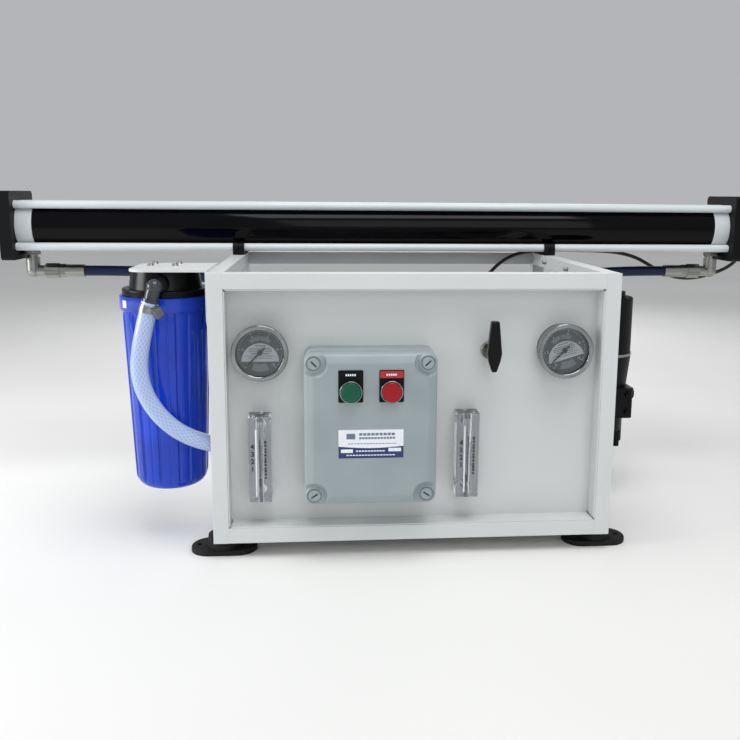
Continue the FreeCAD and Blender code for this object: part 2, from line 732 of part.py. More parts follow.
def make_gauges():
    cases = []
    lenses = []
    dials = []
    for x, name in ((gauge_left_x, "left_gauge_needle"), (gauge_right_x, "right_gauge_needle")):
        case = rod(gauge_case_radius, bezel_proud + gauge_back - 3, at(x, bezel_face + 3, gauge_z), Y)
        hollow_depth = bezel_proud + gauge_back - 10
        case = case.cut(rod(gauge_case_radius - 1.5, hollow_depth, at(x, bezel_face + 2, gauge_z), Y))
        flange = pipe(bezel_radius, gauge_case_radius - 1.5, 5.0, at(x, bezel_face + 3, gauge_z), Y)
        bezel = pipe(bezel_radius, gauge_case_radius - 3.0, 3.0, at(x, bezel_face, gauge_z), Y)
        bezel = soften(bezel, 1.4, lambda e: len(e.Vertexes) == 1 and e.Vertexes[0].Y < bezel_face + 0.1)
        stem = fuse([hexagon(14, 12, at(x, panel_face + gauge_back, gauge_z), Y),
                     rod(6.0, 26, at(x, panel_face + gauge_back, gauge_z), Y)])
        cases.append(fuse([case, flange, bezel, stem]))
        lenses.append(rod(gauge_case_radius - 1.5 - gap, 2.0, at(x, bezel_face + 3.2, gauge_z), Y))
        dial = rod(gauge_case_radius - 1.5 - gap, 1.0, at(x, bezel_face + 11.0, gauge_z), Y)
        dials.append(dial.cut(rod(1.4, 10, at(x, bezel_face + 6, gauge_z), Y)))
        blade = block(-0.9, 0.9, 0, 0.8, -9.0, 23.0)
        hub = rod(3.2, 2.2, at(0, -0.7, 0), Y)
        pin = rod(1.1, 8.0, at(0, 0, 0), Y)
        needle = fuse([blade, hub, pin])
        needle.rotate(at(0, 0, 0), Y, needle_start_turn)
        needle.translate(at(x, bezel_face + 8.2, gauge_z))
        save(name, [needle])
    save("gauge_cases", cases)
    save("gauge_lenses", lenses)
    save("gauge_dials", dials)


# ---------------------------------------------------------------- flow meters
def make_meters():
    bodies = []
    guides = []
    for x, lift, name in ((meter_left_x, meter_left_lift, "left_flow_float"),
                          (meter_right_x, meter_right_lift, "right_flow_float")):
        z = under + lift
        low = z - meter_height / 2
        high = z + meter_height / 2
        face = panel_face - meter_depth
        axis_y = face + meter_depth / 2
        body = block(x - meter_width / 2, x + meter_width / 2, face, panel_face - gap, low, high)
        body = soften(body, 1.5, lambda e: e.Vertexes[0].Y < face + 0.1 and e.Vertexes[1].Y < face + 0.1)
        ports = [rod(meter_port_radius, 27 + gap, at(x, panel_face - gap, z + s * meter_port_offset), Y)
                 for s in (-1, 1)]
        body = fuse([body] + ports)
        chamber = cone(4.2, 6.4, meter_height - 26, at(x, axis_y, low + 13), Z)
        body = body.cut(chamber)
        body = body.cut(rod(6.4, 14, at(x, axis_y, high - 13.5), Z))
        body = body.cut(rod(4.2, 14, at(x, axis_y, low - 0.5), Z))
        for s in (-1, 1):
            body = body.cut(rod(3.0, 60, at(x, axis_y, z + s * meter_port_offset), Y))
        bodies.append(body)
        stop_low = fuse([rod(4.1, 9, at(x, axis_y, low), Z), cone(3.6, 1.8, 6, at(x, axis_y, low + 9), Z)])
        stop_high = rod(6.3, 8, at(x, axis_y, high - 8), Z)
        guide = rod(0.9, meter_height - 15, at(x, axis_y, low + 12), Z)
        guides.append(fuse([stop_low, guide, stop_high]))
        float_low = low + 15.0 + gap
        body_float = fuse([cone(1.6, 3.4, 5, at(x, axis_y, float_low), Z),
                           rod(3.4, 7, at(x, axis_y, float_low + 5), Z)])
        save(name, [body_float.cut(rod(1.0, 40, at(x, axis_y, float_low - 5), Z))])
    save("flow_meter_bodies", bodies)
    save("flow_meter_guides", guides)


# ---------------------------------------------------------------- selector valve
def make_valve():
    z = under + valve_lift
    body = fuse([block(valve_x - 19, valve_x + 19, panel_back + 6, panel_back + 48, z - 19, z + 19),
                 rod(valve_stem_radius, panel_recess, at(valve_x, panel_face - 3, z), Y),
                 hexagon(24, 5, at(valve_x, panel_back + 1, z), Y),
                 hexagon(19, 14, at(valve_x, panel_back + 48, z), Y),
                 rod(pressure_hose_radius + 2, 33.5, at(valve_x, panel_back + 62, z), Y)])
    collar = pipe(valve_collar_radius, 5.0, 8.0, at(valve_x, panel_face - 8, z), Y)
    collar = soften(collar, 1.0, lambda e: len(e.Vertexes) == 1 and e.Vertexes[0].Y < panel_face - 7.9
                    and e.Length > 60)
    body = body.cut(rod(5.0, 20, at(valve_x, panel_face - 9, z), Y))
    save("valve_body", [fuse([body, collar])])
    y0 = panel_face - 8 - 24 - lever_thickness
    handle_low = 22.0
    half = lever_width / 2
    outline = [at(-half * 0.55, 0, lever_length - handle_low), at(half * 0.55, 0, lever_length - handle_low),
               at(half, 0, 2), at(half * 0.8, 0, -8), at(3.0, 0, -handle_low), at(-3.0, 0, -handle_low),
               at(-half * 0.8, 0, -8), at(-half, 0, 2), at(-half * 0.55, 0, lever_length - handle_low)]
    lever = Part.Face(Part.makePolygon(outline)).extrude(at(0, lever_thickness, 0))
    lever = lever.makeFillet(2.0, [e for e in lever.Edges])
    lever.translate(at(valve_x, y0, z))
    hub = cone(8.5, 7.5, 24.0, at(valve_x, y0 + lever_thickness - 1, z), Y)
    spindle = rod(5.0 - running_gap, 20.0, at(valve_x, y0 + lever_thickness + 20, z), Y)
    save("valve_lever", [fuse([lever, hub, spindle])])


# ---------------------------------------------------------------- pumps
motor_y = front + motor_axis_inset
deck = under + tube_size + base_thickness
motor_z = deck + motor_lift


def make_motor():
    housing = rod(motor_radius, motor_length, at(motor_left, motor_y, motor_z), X)
    housing = housing.cut(rod(motor_radius - 5, motor_length - 20, at(motor_left + 10, motor_y, motor_z), X))
    shaft_start = at(motor_left - 1, motor_y, motor_z)
    housing = housing.cut(rod(shaft_radius + running_gap, motor_length + 2, shaft_start, X))
    solids = [housing]
    for x in (motor_left + 40, motor_left + 140):
        for side in (-1, 1):
            y_mid = motor_y + side * 44
            foot = block(x - 12, x + 22, y_mid - 14, y_mid + 14, deck, motor_z - 36)
            solids.append(foot.cut(rod(motor_radius - 2, 80, at(x - 20, motor_y, motor_z), X)))
    solids.append(block(motor_left + 60, motor_left + 140, motor_y - 30, motor_y + 30,
                        motor_z + motor_radius - 8, motor_z + motor_radius + 18)
                  .cut(rod(motor_radius - 2, 120, at(motor_left + 40, motor_y, motor_z), X)))
    end = motor_left + motor_length
    cover = rod(motor_radius, fan_cover_length, at(end, motor_y, motor_z), X)
    cover = cover.cut(rod(motor_radius - 2, fan_cover_length - 2, at(end - 0.01, motor_y, motor_z), X))
    for k in range(12):
        slot = block(end + fan_cover_length - 4, end + fan_cover_length + 2, -3, 3, 18, motor_radius - 10)
        slot.rotate(at(0, 0, 0), X, 30.0 * k)
        slot.translate(at(0, motor_y, motor_z))
        cover = cover.cut(slot)
    save("motor_housing", [fuse(solids), cover])
    rotor = fuse([rod(shaft_radius, motor_length + 50, at(motor_left - 20, motor_y, motor_z), X),
                  rod(motor_radius - 22, motor_length - 60, at(motor_left + 30, motor_y, motor_z), X)])
    save("motor_rotor", [rotor])
    hub = pipe(16, shaft_radius, 20, at(end + 8, motor_y, motor_z), X)
    blades = [hub]
    for k in range(8):
        blade = block(end + 10, end + 26, -1.5, 1.5, 15, motor_radius - 8)
        blade.rotate(at(0, 0, 0), X, 45.0 * k)
        blade.translate(at(0, motor_y, motor_z))
        blades.append(blade)
    save("cooling_fan", [fuse(blades)])


def make_pump():
    x0 = motor_left - crankcase_length
    y0 = motor_y - crankcase_width / 2
    y1 = motor_y + crankcase_width / 2
    case = fuse([block(x0, motor_left, y0, y1, motor_z - 50, motor_z + 45),
                 block(x0 + 8, motor_left - 8, y0 + 5, y1 - 5, deck, motor_z - 50)])
    case = case.cut(rod(shaft_radius + 1, 30, at(motor_left - 25, motor_y, motor_z), X))
    for k in range(5):
        fin = x0 + 14 + k * 20
        case = case.cut(block(fin, fin + 8, y0 - 1, y1 + 1, motor_z + 35, motor_z + 50))
    save("pump_crankcase", [case])
    head = block(x0 + 5, motor_left - 5, y0 - manifold_depth, y0, motor_z - 38, motor_z + 30)
    caps = [hexagon(20, 7, at(x0 + 25 + k * 30, y0 - manifold_depth, motor_z - 18), at(0, -1, 0))
            for k in (0, 2)]
    inlet_face = -10.0
    inlet = rod(9.0, y0 - manifold_depth - inlet_face, at(-90, inlet_face, 115), Y)
    head_top = motor_z + 30
    outlet = fuse([hexagon(20, 8, at(outlet_x, outlet_y, head_top), Z),
                   rod(pressure_hose_radius + 2, outlet_top - head_top, at(outlet_x, outlet_y, head_top), Z)])
    save("pump_manifold", [fuse([head] + caps + [inlet, outlet])])


def make_booster():
    x = right + booster_from_frame
    y = front + booster_inset
    z_low = under + booster_lift
    z_high = z_low + booster_length
    body = rod(booster_radius, booster_length, at(x, y, z_low), Z)
    body = soften(body, 3.0, lambda e: len(e.Vertexes) == 1 and e.Vertexes[0].Z > z_high - 0.1)
    cap = rod(booster_radius - 12, 8, at(x, y, z_high), Z)
    motor = fuse([body, cap])
    plate = block(right, right + 4, y - 78, y + 78, under + 150, top - 1)
    arm_end = x - booster_radius + 8
    arms = [block(right + 4, arm_end, y - 16, y + 16, z - 14, z) for z in (z_low + 30, z_high - 6)]
    bracket = fuse([plate] + arms).cut(rod(booster_radius, 200, at(x, y, z_low - 20), Z))
    for bolt_y in booster_bolt_rows():
        bracket = bracket.cut(rod(bolt_shank + gap, 20, at(right - 5, bolt_y, top - tube_size / 2), X))
    save("booster_motor", [motor])
    neck_top = z_low - 4
    strap = rod(booster_radius + 1.5, 4, at(x, y, neck_top), Z)
    save("booster_bracket", [bracket, strap])
    neck_length = 50.0
    block_low = neck_top - 98
    nozzle_low = neck_top - 144
    neck = cone(booster_radius - 4, booster_radius + 1, neck_length, at(x, y, neck_top - neck_length), Z)
    head = block(x - 42, x + 40, y - 38, y + 38, block_low, neck_top - neck_length)
    head = soften(head, 6.0, lambda e: abs(e.Vertexes[0].Z - e.Vertexes[1].Z) > 20)
    knob = rod(9.0, 14, at(x + 38, y, neck_top - 66), X)
    lower = rod(34.0, 24, at(x, y, block_low - 24), Z)
    bolts = [rod(3.5, 5, at(x + sx * 30, y - 38 - 5, z), Y)
             for sx in (-1, 1) for z in (block_low + 10, block_low + 38)]
    nozzle = rod(8.5, block_low - nozzle_low, at(x + nozzle_offset, y, nozzle_low), Z)
    tip = rod(6.0, 10, at(x + nozzle_offset, y, nozzle_low - 10), Z)
    save("booster_head", [fuse([neck, head, knob, lower, nozzle, tip] + bolts)])


def booster_bolt_rows():
    y = front + booster_inset
    return (y - 62.0, y + 62.0)


# ---------------------------------------------------------------- fasteners
def bolt(radius, head_radius_, head_thick, length, start, direction):
    """A screw with a softened round head; start is the underside of the head."""
    backwards = FreeCAD.Vector(direction) * -1
    head = cone(head_radius_, head_radius_ - 1.2, head_thick, start, backwards)
    shank = rod(radius, length, start, direction)
    socket = hexagon(radius * 1.3, 2.0, start + backwards * (head_thick - 1.9), backwards)
    return fuse([head, shank]).cut(socket)


def make_bolts(rails, feet):
    frame_bolts = []
    half = tube_size / 2
    for y, z in bracket_bolt_places():
        frame_bolts.append(bolt(bolt_shank, 5.5, 3.2, 10, at(left - bracket_thickness, y, z), X))
    for y in booster_bolt_rows():
        frame_bolts.append(bolt(bolt_shank, 5.5, 3.2, 30, at(right + 4, y, top - half), at(-1, 0, 0)))
    rails = [drill(rail, frame_bolts) for rail in rails]
    foot_bolts = []
    for x, y in foot_places():
        foot_bolts.append(bolt(4.0, 7.0, 3.0, foot_height + 2, at(x, y, 3.2), Z))
    feet = [foot.cut(rod(7.3, 3.2, at(x, y, 0), Z)) for foot, (x, y) in zip(feet, foot_places())]
    feet = [drill(foot, foot_bolts) for foot in feet]
    rails = [drill(rail, foot_bolts) for rail in rails]
    save("frame_tubes", rails)
    save("foot_mounts", feet)
    screws = [bolt(screw_shank - 0.05, 4.8, 2.6, 12, at(x, y, top + bracket_thickness), at(0, 0, -1))
              for x, y in filter_screw_places()]
    save("machine_screws", frame_bolts + foot_bolts + screws)


def drill(solid, pins):
    for pin in pins:
        if solid.BoundBox.intersect(pin.BoundBox):
            solid = solid.cut(pin)
    return solid


# ---------------------------------------------------------------- the whole machine
os.makedirs("parts", exist_ok=True)
frame_rails = make_frame()
make_panel()
make_base()
make_bracket()
elbow_end, elbow_way = make_head()
make_sump()
make_vessel()
tube_start = make_permeate_elbow()
make_clips()
make_hoses(elbow_end, elbow_way, tube_start)
make_box()
make_lid()
make_buttons()
make_gauges()
make_meters()
make_valve()
make_motor()
make_pump()
make_booster()
make_bolts(frame_rails, make_feet())
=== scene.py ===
"""Visual model of a frame-mounted reverse osmosis water maker, laid out as an add-on."""

import math

import bmesh
import bpy
import numpy as np
from bpy.props import FloatProperty, IntProperty, PointerProperty
from mathutils import Matrix, Vector


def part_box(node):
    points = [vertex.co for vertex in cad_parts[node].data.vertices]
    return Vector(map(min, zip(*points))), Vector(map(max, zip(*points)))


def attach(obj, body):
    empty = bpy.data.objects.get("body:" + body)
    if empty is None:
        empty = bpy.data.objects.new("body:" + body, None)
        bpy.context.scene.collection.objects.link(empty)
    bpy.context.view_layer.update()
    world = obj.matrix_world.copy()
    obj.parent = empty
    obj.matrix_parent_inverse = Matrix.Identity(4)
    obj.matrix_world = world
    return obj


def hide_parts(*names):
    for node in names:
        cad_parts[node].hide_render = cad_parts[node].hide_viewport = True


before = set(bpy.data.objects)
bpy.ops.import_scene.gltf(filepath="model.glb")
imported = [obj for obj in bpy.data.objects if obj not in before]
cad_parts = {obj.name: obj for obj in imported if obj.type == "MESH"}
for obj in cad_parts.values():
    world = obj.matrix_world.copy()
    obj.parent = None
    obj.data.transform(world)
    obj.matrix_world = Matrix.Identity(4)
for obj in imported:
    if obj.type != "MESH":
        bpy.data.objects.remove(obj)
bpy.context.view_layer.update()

bl_info = {
    "name": "Water maker finish",
    "version": (1, 0, 0),
    "blender": (4, 5, 0),
    "location": "3D View > Sidebar > Water maker",
    "description": "Surfaces, hoses, prints and finishes for a frame-mounted water maker",
    "category": "Object",
}

MM = 0.001


# ---------------------------------------------------------------- colour and node helpers
def linear(code):
    """An sRGB hex colour as linear red, green, blue and a full alpha."""
    parts = [int(code[start:start + 2], 16) / 255 for start in (1, 3, 5)]
    bent = [part / 12.92 if part <= 0.04045 else ((part + 0.055) / 1.055) ** 2.4 for part in parts]
    return (*bent, 1.0)


def add(tree, kind, links=None, inputs=None, **settings):
    """Adds a node, sets its settings and fixed inputs, and links what is given to its sockets."""
    node = tree.nodes.new(kind)
    for key, value in settings.items():
        setattr(node, key, value)
    for key, value in (inputs or {}).items():
        node.inputs[key].default_value = value
    for key, socket in (links or {}).items():
        tree.links.new(socket, node.inputs[key])
    return node


def ramp(tree, factor, stops):
    """A colour ramp with (place, colour) stops, fed by a factor."""
    node = add(tree, "ShaderNodeValToRGB", {"Fac": factor})
    elements = node.color_ramp.elements
    while len(elements) < len(stops):
        elements.new(0.5)
    for element, (place, colour) in zip(elements, stops):
        element.position = place
        element.color = colour
    return node


def start_material(name, **shader):
    """A material with one Principled shader; returns it, its tree and the shader."""
    material = bpy.data.materials.new(name)
    material.use_nodes = True
    tree = material.node_tree
    principled = next(node for node in tree.nodes if node.type == "BSDF_PRINCIPLED")
    for key, value in shader.items():
        principled.inputs[key.replace("_", " ")].default_value = value
    return material, tree, principled


def places(tree, scale=(1, 1, 1), turn=(0, 0, 0), kind="Object"):
    """Coordinates in metres on the object, or its own UV map, scaled to patterns per metre."""
    source = add(tree, "ShaderNodeTexCoord")
    return add(tree, "ShaderNodeMapping", {"Vector": source.outputs[kind]},
               {"Scale": scale, "Rotation": turn}).outputs["Vector"]


def roughen(tree, principled, vector, per_metre, spread, depth, detail=3.0):
    """Uneven gloss and a fine bump, both from one noise of the given fineness."""
    noise = add(tree, "ShaderNodeTexNoise", {"Vector": vector}, {"Scale": per_metre, "Detail": detail})
    gloss = add(tree, "ShaderNodeMapRange", {"Value": noise.outputs["Fac"]},
                {"To Min": spread[0], "To Max": spread[1]})
    tree.links.new(gloss.outputs["Result"], principled.inputs["Roughness"])
    bump = add(tree, "ShaderNodeBump", {"Height": noise.outputs["Fac"]}, {"Strength": 0.5, "Distance": depth})
    tree.links.new(bump.outputs["Normal"], principled.inputs["Normal"])


def tint(tree, principled, vector, per_metre, light, dark):
    """A slow drift between two near colours, as handling and casting leave it."""
    noise = add(tree, "ShaderNodeTexNoise", {"Vector": vector}, {"Scale": per_metre, "Detail": 2.0})
    shade = ramp(tree, noise.outputs["Fac"], ((0.3, linear(dark)), (0.7, linear(light))))
    tree.links.new(shade.outputs["Color"], principled.inputs["Base Color"])


# ---------------------------------------------------------------- finishes
def powder_coat(name, light, dark, roughness=(0.36, 0.46), gleam=0.5):
    """Sprayed and baked polyester powder: an even satin skin with a faint orange peel of about 1.5 mm."""
    material, tree, principled = start_material(name, IOR=1.5, Specular_IOR_Level=gleam)
    vector = places(tree)
    tint(tree, principled, vector, 6.0, light, dark)
    roughen(tree, principled, vector, 1 / (1.5 * MM), roughness, 0.03 * MM)
    return material


def moulded(name, light, dark, roughness, grain=1.2, depth=0.04, gleam=0.5):
    """Injection-moulded plastic: one colour that drifts slightly, and a fine tool texture."""
    material, tree, principled = start_material(name, IOR=1.5, Specular_IOR_Level=gleam)
    vector = places(tree)
    tint(tree, principled, vector, 18.0, light, dark)
    roughen(tree, principled, vector, 1 / (grain * MM), roughness, depth * MM)
    return material


def sump_blue():
    """Moulded polypropylene, a deep semi-gloss blue that mirrors lights in long upright streaks."""
    material, tree, principled = start_material("moulded_polypropylene_blue", IOR=1.49)
    vector = places(tree)
    tint(tree, principled, vector, 9.0, "#0648da", "#0434ac")
    roughen(tree, principled, vector, 1 / (2.5 * MM), (0.12, 0.2), 0.03 * MM)
    return material


def brushed_steel(name, light, dark, roughness, stretch=(12.0, 600.0, 600.0)):
    """Stainless steel with fine lines along one axis; each line is about 0.3 mm, drawn 1.5 mm to show."""
    material, tree, principled = start_material(name, Metallic=1.0)
    vector = places(tree, stretch)
    tint(tree, principled, vector, 1.0, light, dark)
    roughen(tree, principled, vector, 1.0, roughness, 0.01 * MM)
    return material


def bright_plate(name, light, dark, roughness=(0.05, 0.14)):
    """Polished nickel-like plate: a clean mirror with faint wipe marks about 20 mm long."""
    material, tree, principled = start_material(name, Metallic=1.0)
    vector = places(tree)
    tint(tree, principled, vector, 20.0, light, dark)
    roughen(tree, principled, vector, 50.0, roughness, 0.005 * MM)
    return material


def wound_vessel():
    """Glass fibre wound on a mandrel under a thick black gel coat: a dark mirror with a slow ripple
    from the winding, one turn about every 30 mm."""
    material, tree, principled = start_material("wound_glass_fibre_black", IOR=1.5)
    principled.inputs["Specular IOR Level"].default_value = 0.14
    vector = places(tree)
    tint(tree, principled, vector, 12.0, "#060608", "#030304")
    slant = places(tree, turn=(0.0, 0.0, math.radians(35)))
    wave = add(tree, "ShaderNodeTexWave", {"Vector": slant},
               {"Scale": 0.31 / (30 * MM), "Distortion": 1.5, "Detail": 1.0})
    bump = add(tree, "ShaderNodeBump", {"Height": wave.outputs["Fac"]},
               {"Strength": 0.2, "Distance": 0.12 * MM})
    tree.links.new(bump.outputs["Normal"], principled.inputs["Normal"])
    principled.inputs["Roughness"].default_value = 0.08
    return material


def hammered_paint():
    """Hammer-finish enamel on a cast motor shell: rounded dimples about 4 mm across."""
    material, tree, principled = start_material("hammered_enamel_slate", IOR=1.52, Metallic=0.2)
    vector = places(tree)
    tint(tree, principled, vector, 14.0, "#3a4a5e", "#2b394a")
    cells = add(tree, "ShaderNodeTexVoronoi", {"Vector": vector}, {"Scale": 1 / (4 * MM)},
                feature="SMOOTH_F1")
    bump = add(tree, "ShaderNodeBump", {"Height": cells.outputs["Distance"]},
               {"Strength": 0.4, "Distance": 0.2 * MM})
    tree.links.new(bump.outputs["Normal"], principled.inputs["Normal"])
    principled.inputs["Roughness"].default_value = 0.32
    return material


def cast_metal(name, light, dark, metallic, roughness, grain):
    """Sand-cast or machined pump metal with a grainy skin."""
    material, tree, principled = start_material(name, Metallic=metallic)
    vector = places(tree)
    tint(tree, principled, vector, 25.0, light, dark)
    roughen(tree, principled, vector, 1 / (grain * MM), roughness, 0.12 * MM, 5.0)
    return material


def vulcanised_rubber():
    """Moulded black rubber: nearly matte, with dust caught in a coarse 3 mm mottling."""
    material, tree, principled = start_material("vulcanised_rubber_black", IOR=1.52, Specular_IOR_Level=0.3)
    vector = places(tree)
    tint(tree, principled, vector, 60.0, "#12110f", "#090908")
    roughen(tree, principled, vector, 1 / (3 * MM), (0.55, 0.78), 0.15 * MM, 6.0)
    return material


def clear_acrylic(name, colour, roughness, weight=1.0):
    """Polished cast acrylic: clear, with soft machining marks about 2 mm apart inside."""
    material, tree, principled = start_material(name, IOR=1.49, Transmission_Weight=weight)
    vector = places(tree)
    tint(tree, principled, vector, 40.0, colour, colour)
    roughen(tree, principled, vector, 1 / (2 * MM), roughness, 0.01 * MM)
    return material


def braided_vinyl():
    """Clear vinyl hose over a white polyester braid: threads cross every 2.6 mm both ways round the wall,
    and a bluish milk-white wall shows between them. The threads are 0.6 mm, drawn 0.8 mm to show."""
    material, tree, principled = start_material("braided_vinyl_clear", IOR=1.53, Coat_Weight=0.6,
                                                Coat_Roughness=0.08)
    around = 2 * math.pi * 11 * MM
    pitch = 2.6 * MM
    turns = round(around / pitch)
    source = add(tree, "ShaderNodeTexCoord")
    split = add(tree, "ShaderNodeSeparateXYZ", {"Vector": source.outputs["UV"]})
    rings = add(tree, "ShaderNodeMath", {0: split.outputs["X"]}, {1: float(turns)}, operation="MULTIPLY")
    runs = add(tree, "ShaderNodeMath", {0: split.outputs["Y"]}, {1: 0.6 / pitch}, operation="MULTIPLY")
    threads = []
    for hand in ("ADD", "SUBTRACT"):
        slant = add(tree, "ShaderNodeMath", {0: rings.outputs[0], 1: runs.outputs[0]}, operation=hand)
        fold = add(tree, "ShaderNodeMath", {0: slant.outputs[0]}, {1: 1.0}, operation="PINGPONG")
        threads.append(add(tree, "ShaderNodeMath", {0: fold.outputs[0]}, {1: 0.3}, operation="LESS_THAN"))
    braid = add(tree, "ShaderNodeMath", {0: threads[0].outputs[0], 1: threads[1].outputs[0]},
                operation="MAXIMUM")
    shade = ramp(tree, braid.outputs[0], ((0.0, linear("#a2baea")), (1.0, linear("#c0d1f2"))))
    tree.links.new(shade.outputs["Color"], principled.inputs["Base Color"])
    bump = add(tree, "ShaderNodeBump", {"Height": braid.outputs[0]}, {"Strength": 0.35, "Distance": 0.3 * MM})
    tree.links.new(bump.outputs["Normal"], principled.inputs["Normal"])
    principled.inputs["Roughness"].default_value = 0.3
    principled.inputs["Transmission Weight"].default_value = 0.1
    return material


def thermoplastic_hose():
    """Thermoplastic pressure hose: a dark blue cover with fine cross-wound marks every 4 mm."""
    material, tree, principled = start_material("thermoplastic_cover_blue", IOR=1.5, Specular_IOR_Level=0.3)
    vector = places(tree, (1.0, 1.0, 1.0), kind="UV")
    wave = add(tree, "ShaderNodeTexWave", {"Vector": vector}, {"Scale": 0.31 / (4 * MM), "Distortion": 0.6},
               bands_direction="Y")
    shade = ramp(tree, wave.outputs["Fac"], ((0.2, linear("#051431")), (0.8, linear("#081d45"))))
    tree.links.new(shade.outputs["Color"], principled.inputs["Base Color"])
    bump = add(tree, "ShaderNodeBump", {"Height": wave.outputs["Fac"]},
               {"Strength": 0.3, "Distance": 0.1 * MM})
    tree.links.new(bump.outputs["Normal"], principled.inputs["Normal"])
    principled.inputs["Roughness"].default_value = 0.42
    return material


def nylon_tube():
    """Extruded nylon line: smooth, black and satin, with faint draw lines along it."""
    material, tree, principled = start_material("extruded_nylon_black", IOR=1.53)
    vector = places(tree, (30.0, 2.0, 1.0), kind="UV")
    tint(tree, principled, vector, 1.0, "#17171a", "#0c0c0e")
    roughen(tree, principled, vector, 4.0, (0.3, 0.45), 0.02 * MM)
    return material


def printed(name, light, dark, roughness=0.5):
    """Screen ink or printed film: even and satin, with a slight unevenness about 2 mm across."""
    material, tree, principled = start_material(name, IOR=1.5)
    vector = places(tree)
    tint(tree, principled, vector, 1 / (2 * MM), light, dark)
    principled.inputs["Roughness"].default_value = roughness
    return material


FINISHES = {}


def finish(name):
    """The finish by name, made once."""
    if name not in FINISHES:
        FINISHES[name] = MAKERS[name]()
    return FINISHES[name]


MAKERS = {
    "white_coat": lambda: powder_coat("powder_coat_white", "#d3d5d5", "#cdd0d0"),
    "black_coat": lambda: powder_coat("powder_coat_black", "#060709", "#030405", (0.4, 0.55), 0.16),
    "white_plastic": lambda: moulded("moulded_nylon_white", "#cdd1d3", "#c2c7ca", (0.3, 0.42)),
    "rod_white": lambda: powder_coat("sleeved_rod_white", "#d2d8da", "#c8ced0", (0.28, 0.36)),
    "grey_box": lambda: moulded("moulded_abs_light_grey", "#98a3a6", "#8f9b9f", (0.36, 0.48), 1.6, 0.06),
    "black_plastic": lambda: moulded("moulded_nylon_black", "#060709", "#040506", (0.34, 0.5), gleam=0.16),
    "black_gloss": lambda: moulded("moulded_acetal_black", "#060608", "#040405", (0.2, 0.3), 3.0, 0.02, 0.2),
    "smoked_fitting": lambda: moulded("moulded_polycarbonate_smoke", "#3b3f45", "#2a2d32", (0.08, 0.16),
                                      3.0, 0.02),
    "red_button": lambda: moulded("moulded_polycarbonate_red", "#a80c16", "#8a0911",
                                  (0.2, 0.3), 2.0, 0.02, 0.3),
    "green_button": lambda: moulded("moulded_polycarbonate_green", "#035a42", "#024632",
                                    (0.2, 0.3), 2.0, 0.02, 0.3),
    "sump_blue": sump_blue,
    "stainless": lambda: brushed_steel("brushed_stainless", "#a9a8a3", "#868680", (0.22, 0.38)),
    "bright_steel": lambda: bright_plate("polished_stainless", "#a2a6a8", "#7c8082"),
    # painted shade: the same polished stainless as bright_steel, made darker for the guides and stops inside
    # the meter bodies
    "shaded_plate": lambda: bright_plate("polished_stainless_painted_shade", "#6a6d70", "#4c4f52"),
    "rubber": vulcanised_rubber,
    "acrylic": lambda: clear_acrylic("cast_acrylic_clear", "#f4f6fa", (0.01, 0.04), 0.95),
    "lens": lambda: clear_acrylic("cast_acrylic_lens", "#f7fafb", (0.0, 0.03)),
    "braided_vinyl": braided_vinyl,
    "pressure_cover": thermoplastic_hose,
    "nylon_tube": nylon_tube,
    "spun_fibre": lambda: moulded("spun_polypropylene_white", "#f0efe9", "#dcdbd3", (0.8, 0.95), 2.0, 0.5),
    "dial_dark": lambda: printed("anodised_dial_slate", "#434c50", "#394145", 0.4),
    "dial_light": lambda: printed("screen_ink_light", "#d5d9dc", "#c3c8cc"),
    "dial_band": lambda: printed("screen_ink_grey", "#7f898d", "#737d81"),
    "ink_dark": lambda: printed("screen_ink_black", "#1b1f2a", "#141824"),
    "ink_navy": lambda: printed("printed_film_navy", "#24356e", "#1c2c60", 0.35),
    "film_white": lambda: printed("printed_film_white", "#eef1f6", "#e3e8ef", 0.35),
    "film_grey": lambda: printed("printed_film_grey", "#6d7a94", "#5f6c88", 0.35),
    "film_red": lambda: printed("printed_film_red", "#b8222c", "#a01c26", 0.4),
    "motor_paint": hammered_paint,
    "cast_aluminium": lambda: cast_metal("cast_aluminium", "#b3b5b6", "#8f9193", 1.0, (0.35, 0.55), 1.5),
    "machined_brass": lambda: cast_metal("machined_brass", "#c6a152", "#a8863e", 1.0, (0.22, 0.38), 3.0),
    "wound_vessel": wound_vessel,
    "membrane_tape": lambda: moulded("fibreglass_tape_pale", "#cfd2c4", "#bdc1b2", (0.5, 0.65), 3.0, 0.2),
}

NODES_IN_FINISH = {
    "acrylic": "flow_meter_bodies",
    "black_coat": "booster_motor end_plates",
    "black_gloss": "filter_head left_flow_float right_flow_float valve_lever",
    "black_plastic": "booster_head cable_gland contact_blocks cooling_fan left_gauge_needle "
                     "legend_plates permeate_fitting right_gauge_needle rod_clips",
    "braided_vinyl": "feed_hose",
    "bright_steel": "button_bezels gauge_cases",
    "cast_aluminium": "pump_crankcase",
    # the meter guides take the painted-shade copy of polished stainless
    "shaded_plate": "flow_meter_guides",
    "dial_dark": "gauge_dials",
    "green_button": "start_button",
    "grey_box": "box_base box_lid lid_screw_lower_left lid_screw_lower_right lid_screw_upper_left "
                "lid_screw_upper_right",
    "lens": "gauge_lenses",
    "machined_brass": "pump_manifold",
    "membrane_tape": "membrane_element",
    "motor_paint": "motor_housing",
    "nylon_tube": "permeate_tube",
    "pressure_cover": "pressure_hose_left pressure_hose_right",
    "red_button": "stop_button",
    "rod_white": "tie_rods",
    "rubber": "foot_mounts lid_gasket sump_seal vessel_seals",
    "smoked_fitting": "filter_fittings",
    "spun_fibre": "filter_cartridge",
    "stainless": "booster_bracket hose_clamp machine_screws motor_rotor pressure_fittings tie_rod_nuts "
                 "valve_body",
    "sump_blue": "filter_sump",
    "white_coat": "base_plate filter_bracket frame_tubes front_panel",
    "white_plastic": "contactor vessel_collars vessel_end_plugs",
    "wound_vessel": "vessel_tube",
}
NODE_FINISH = {node: name for name, nodes in NODES_IN_FINISH.items() for node in nodes.split()}


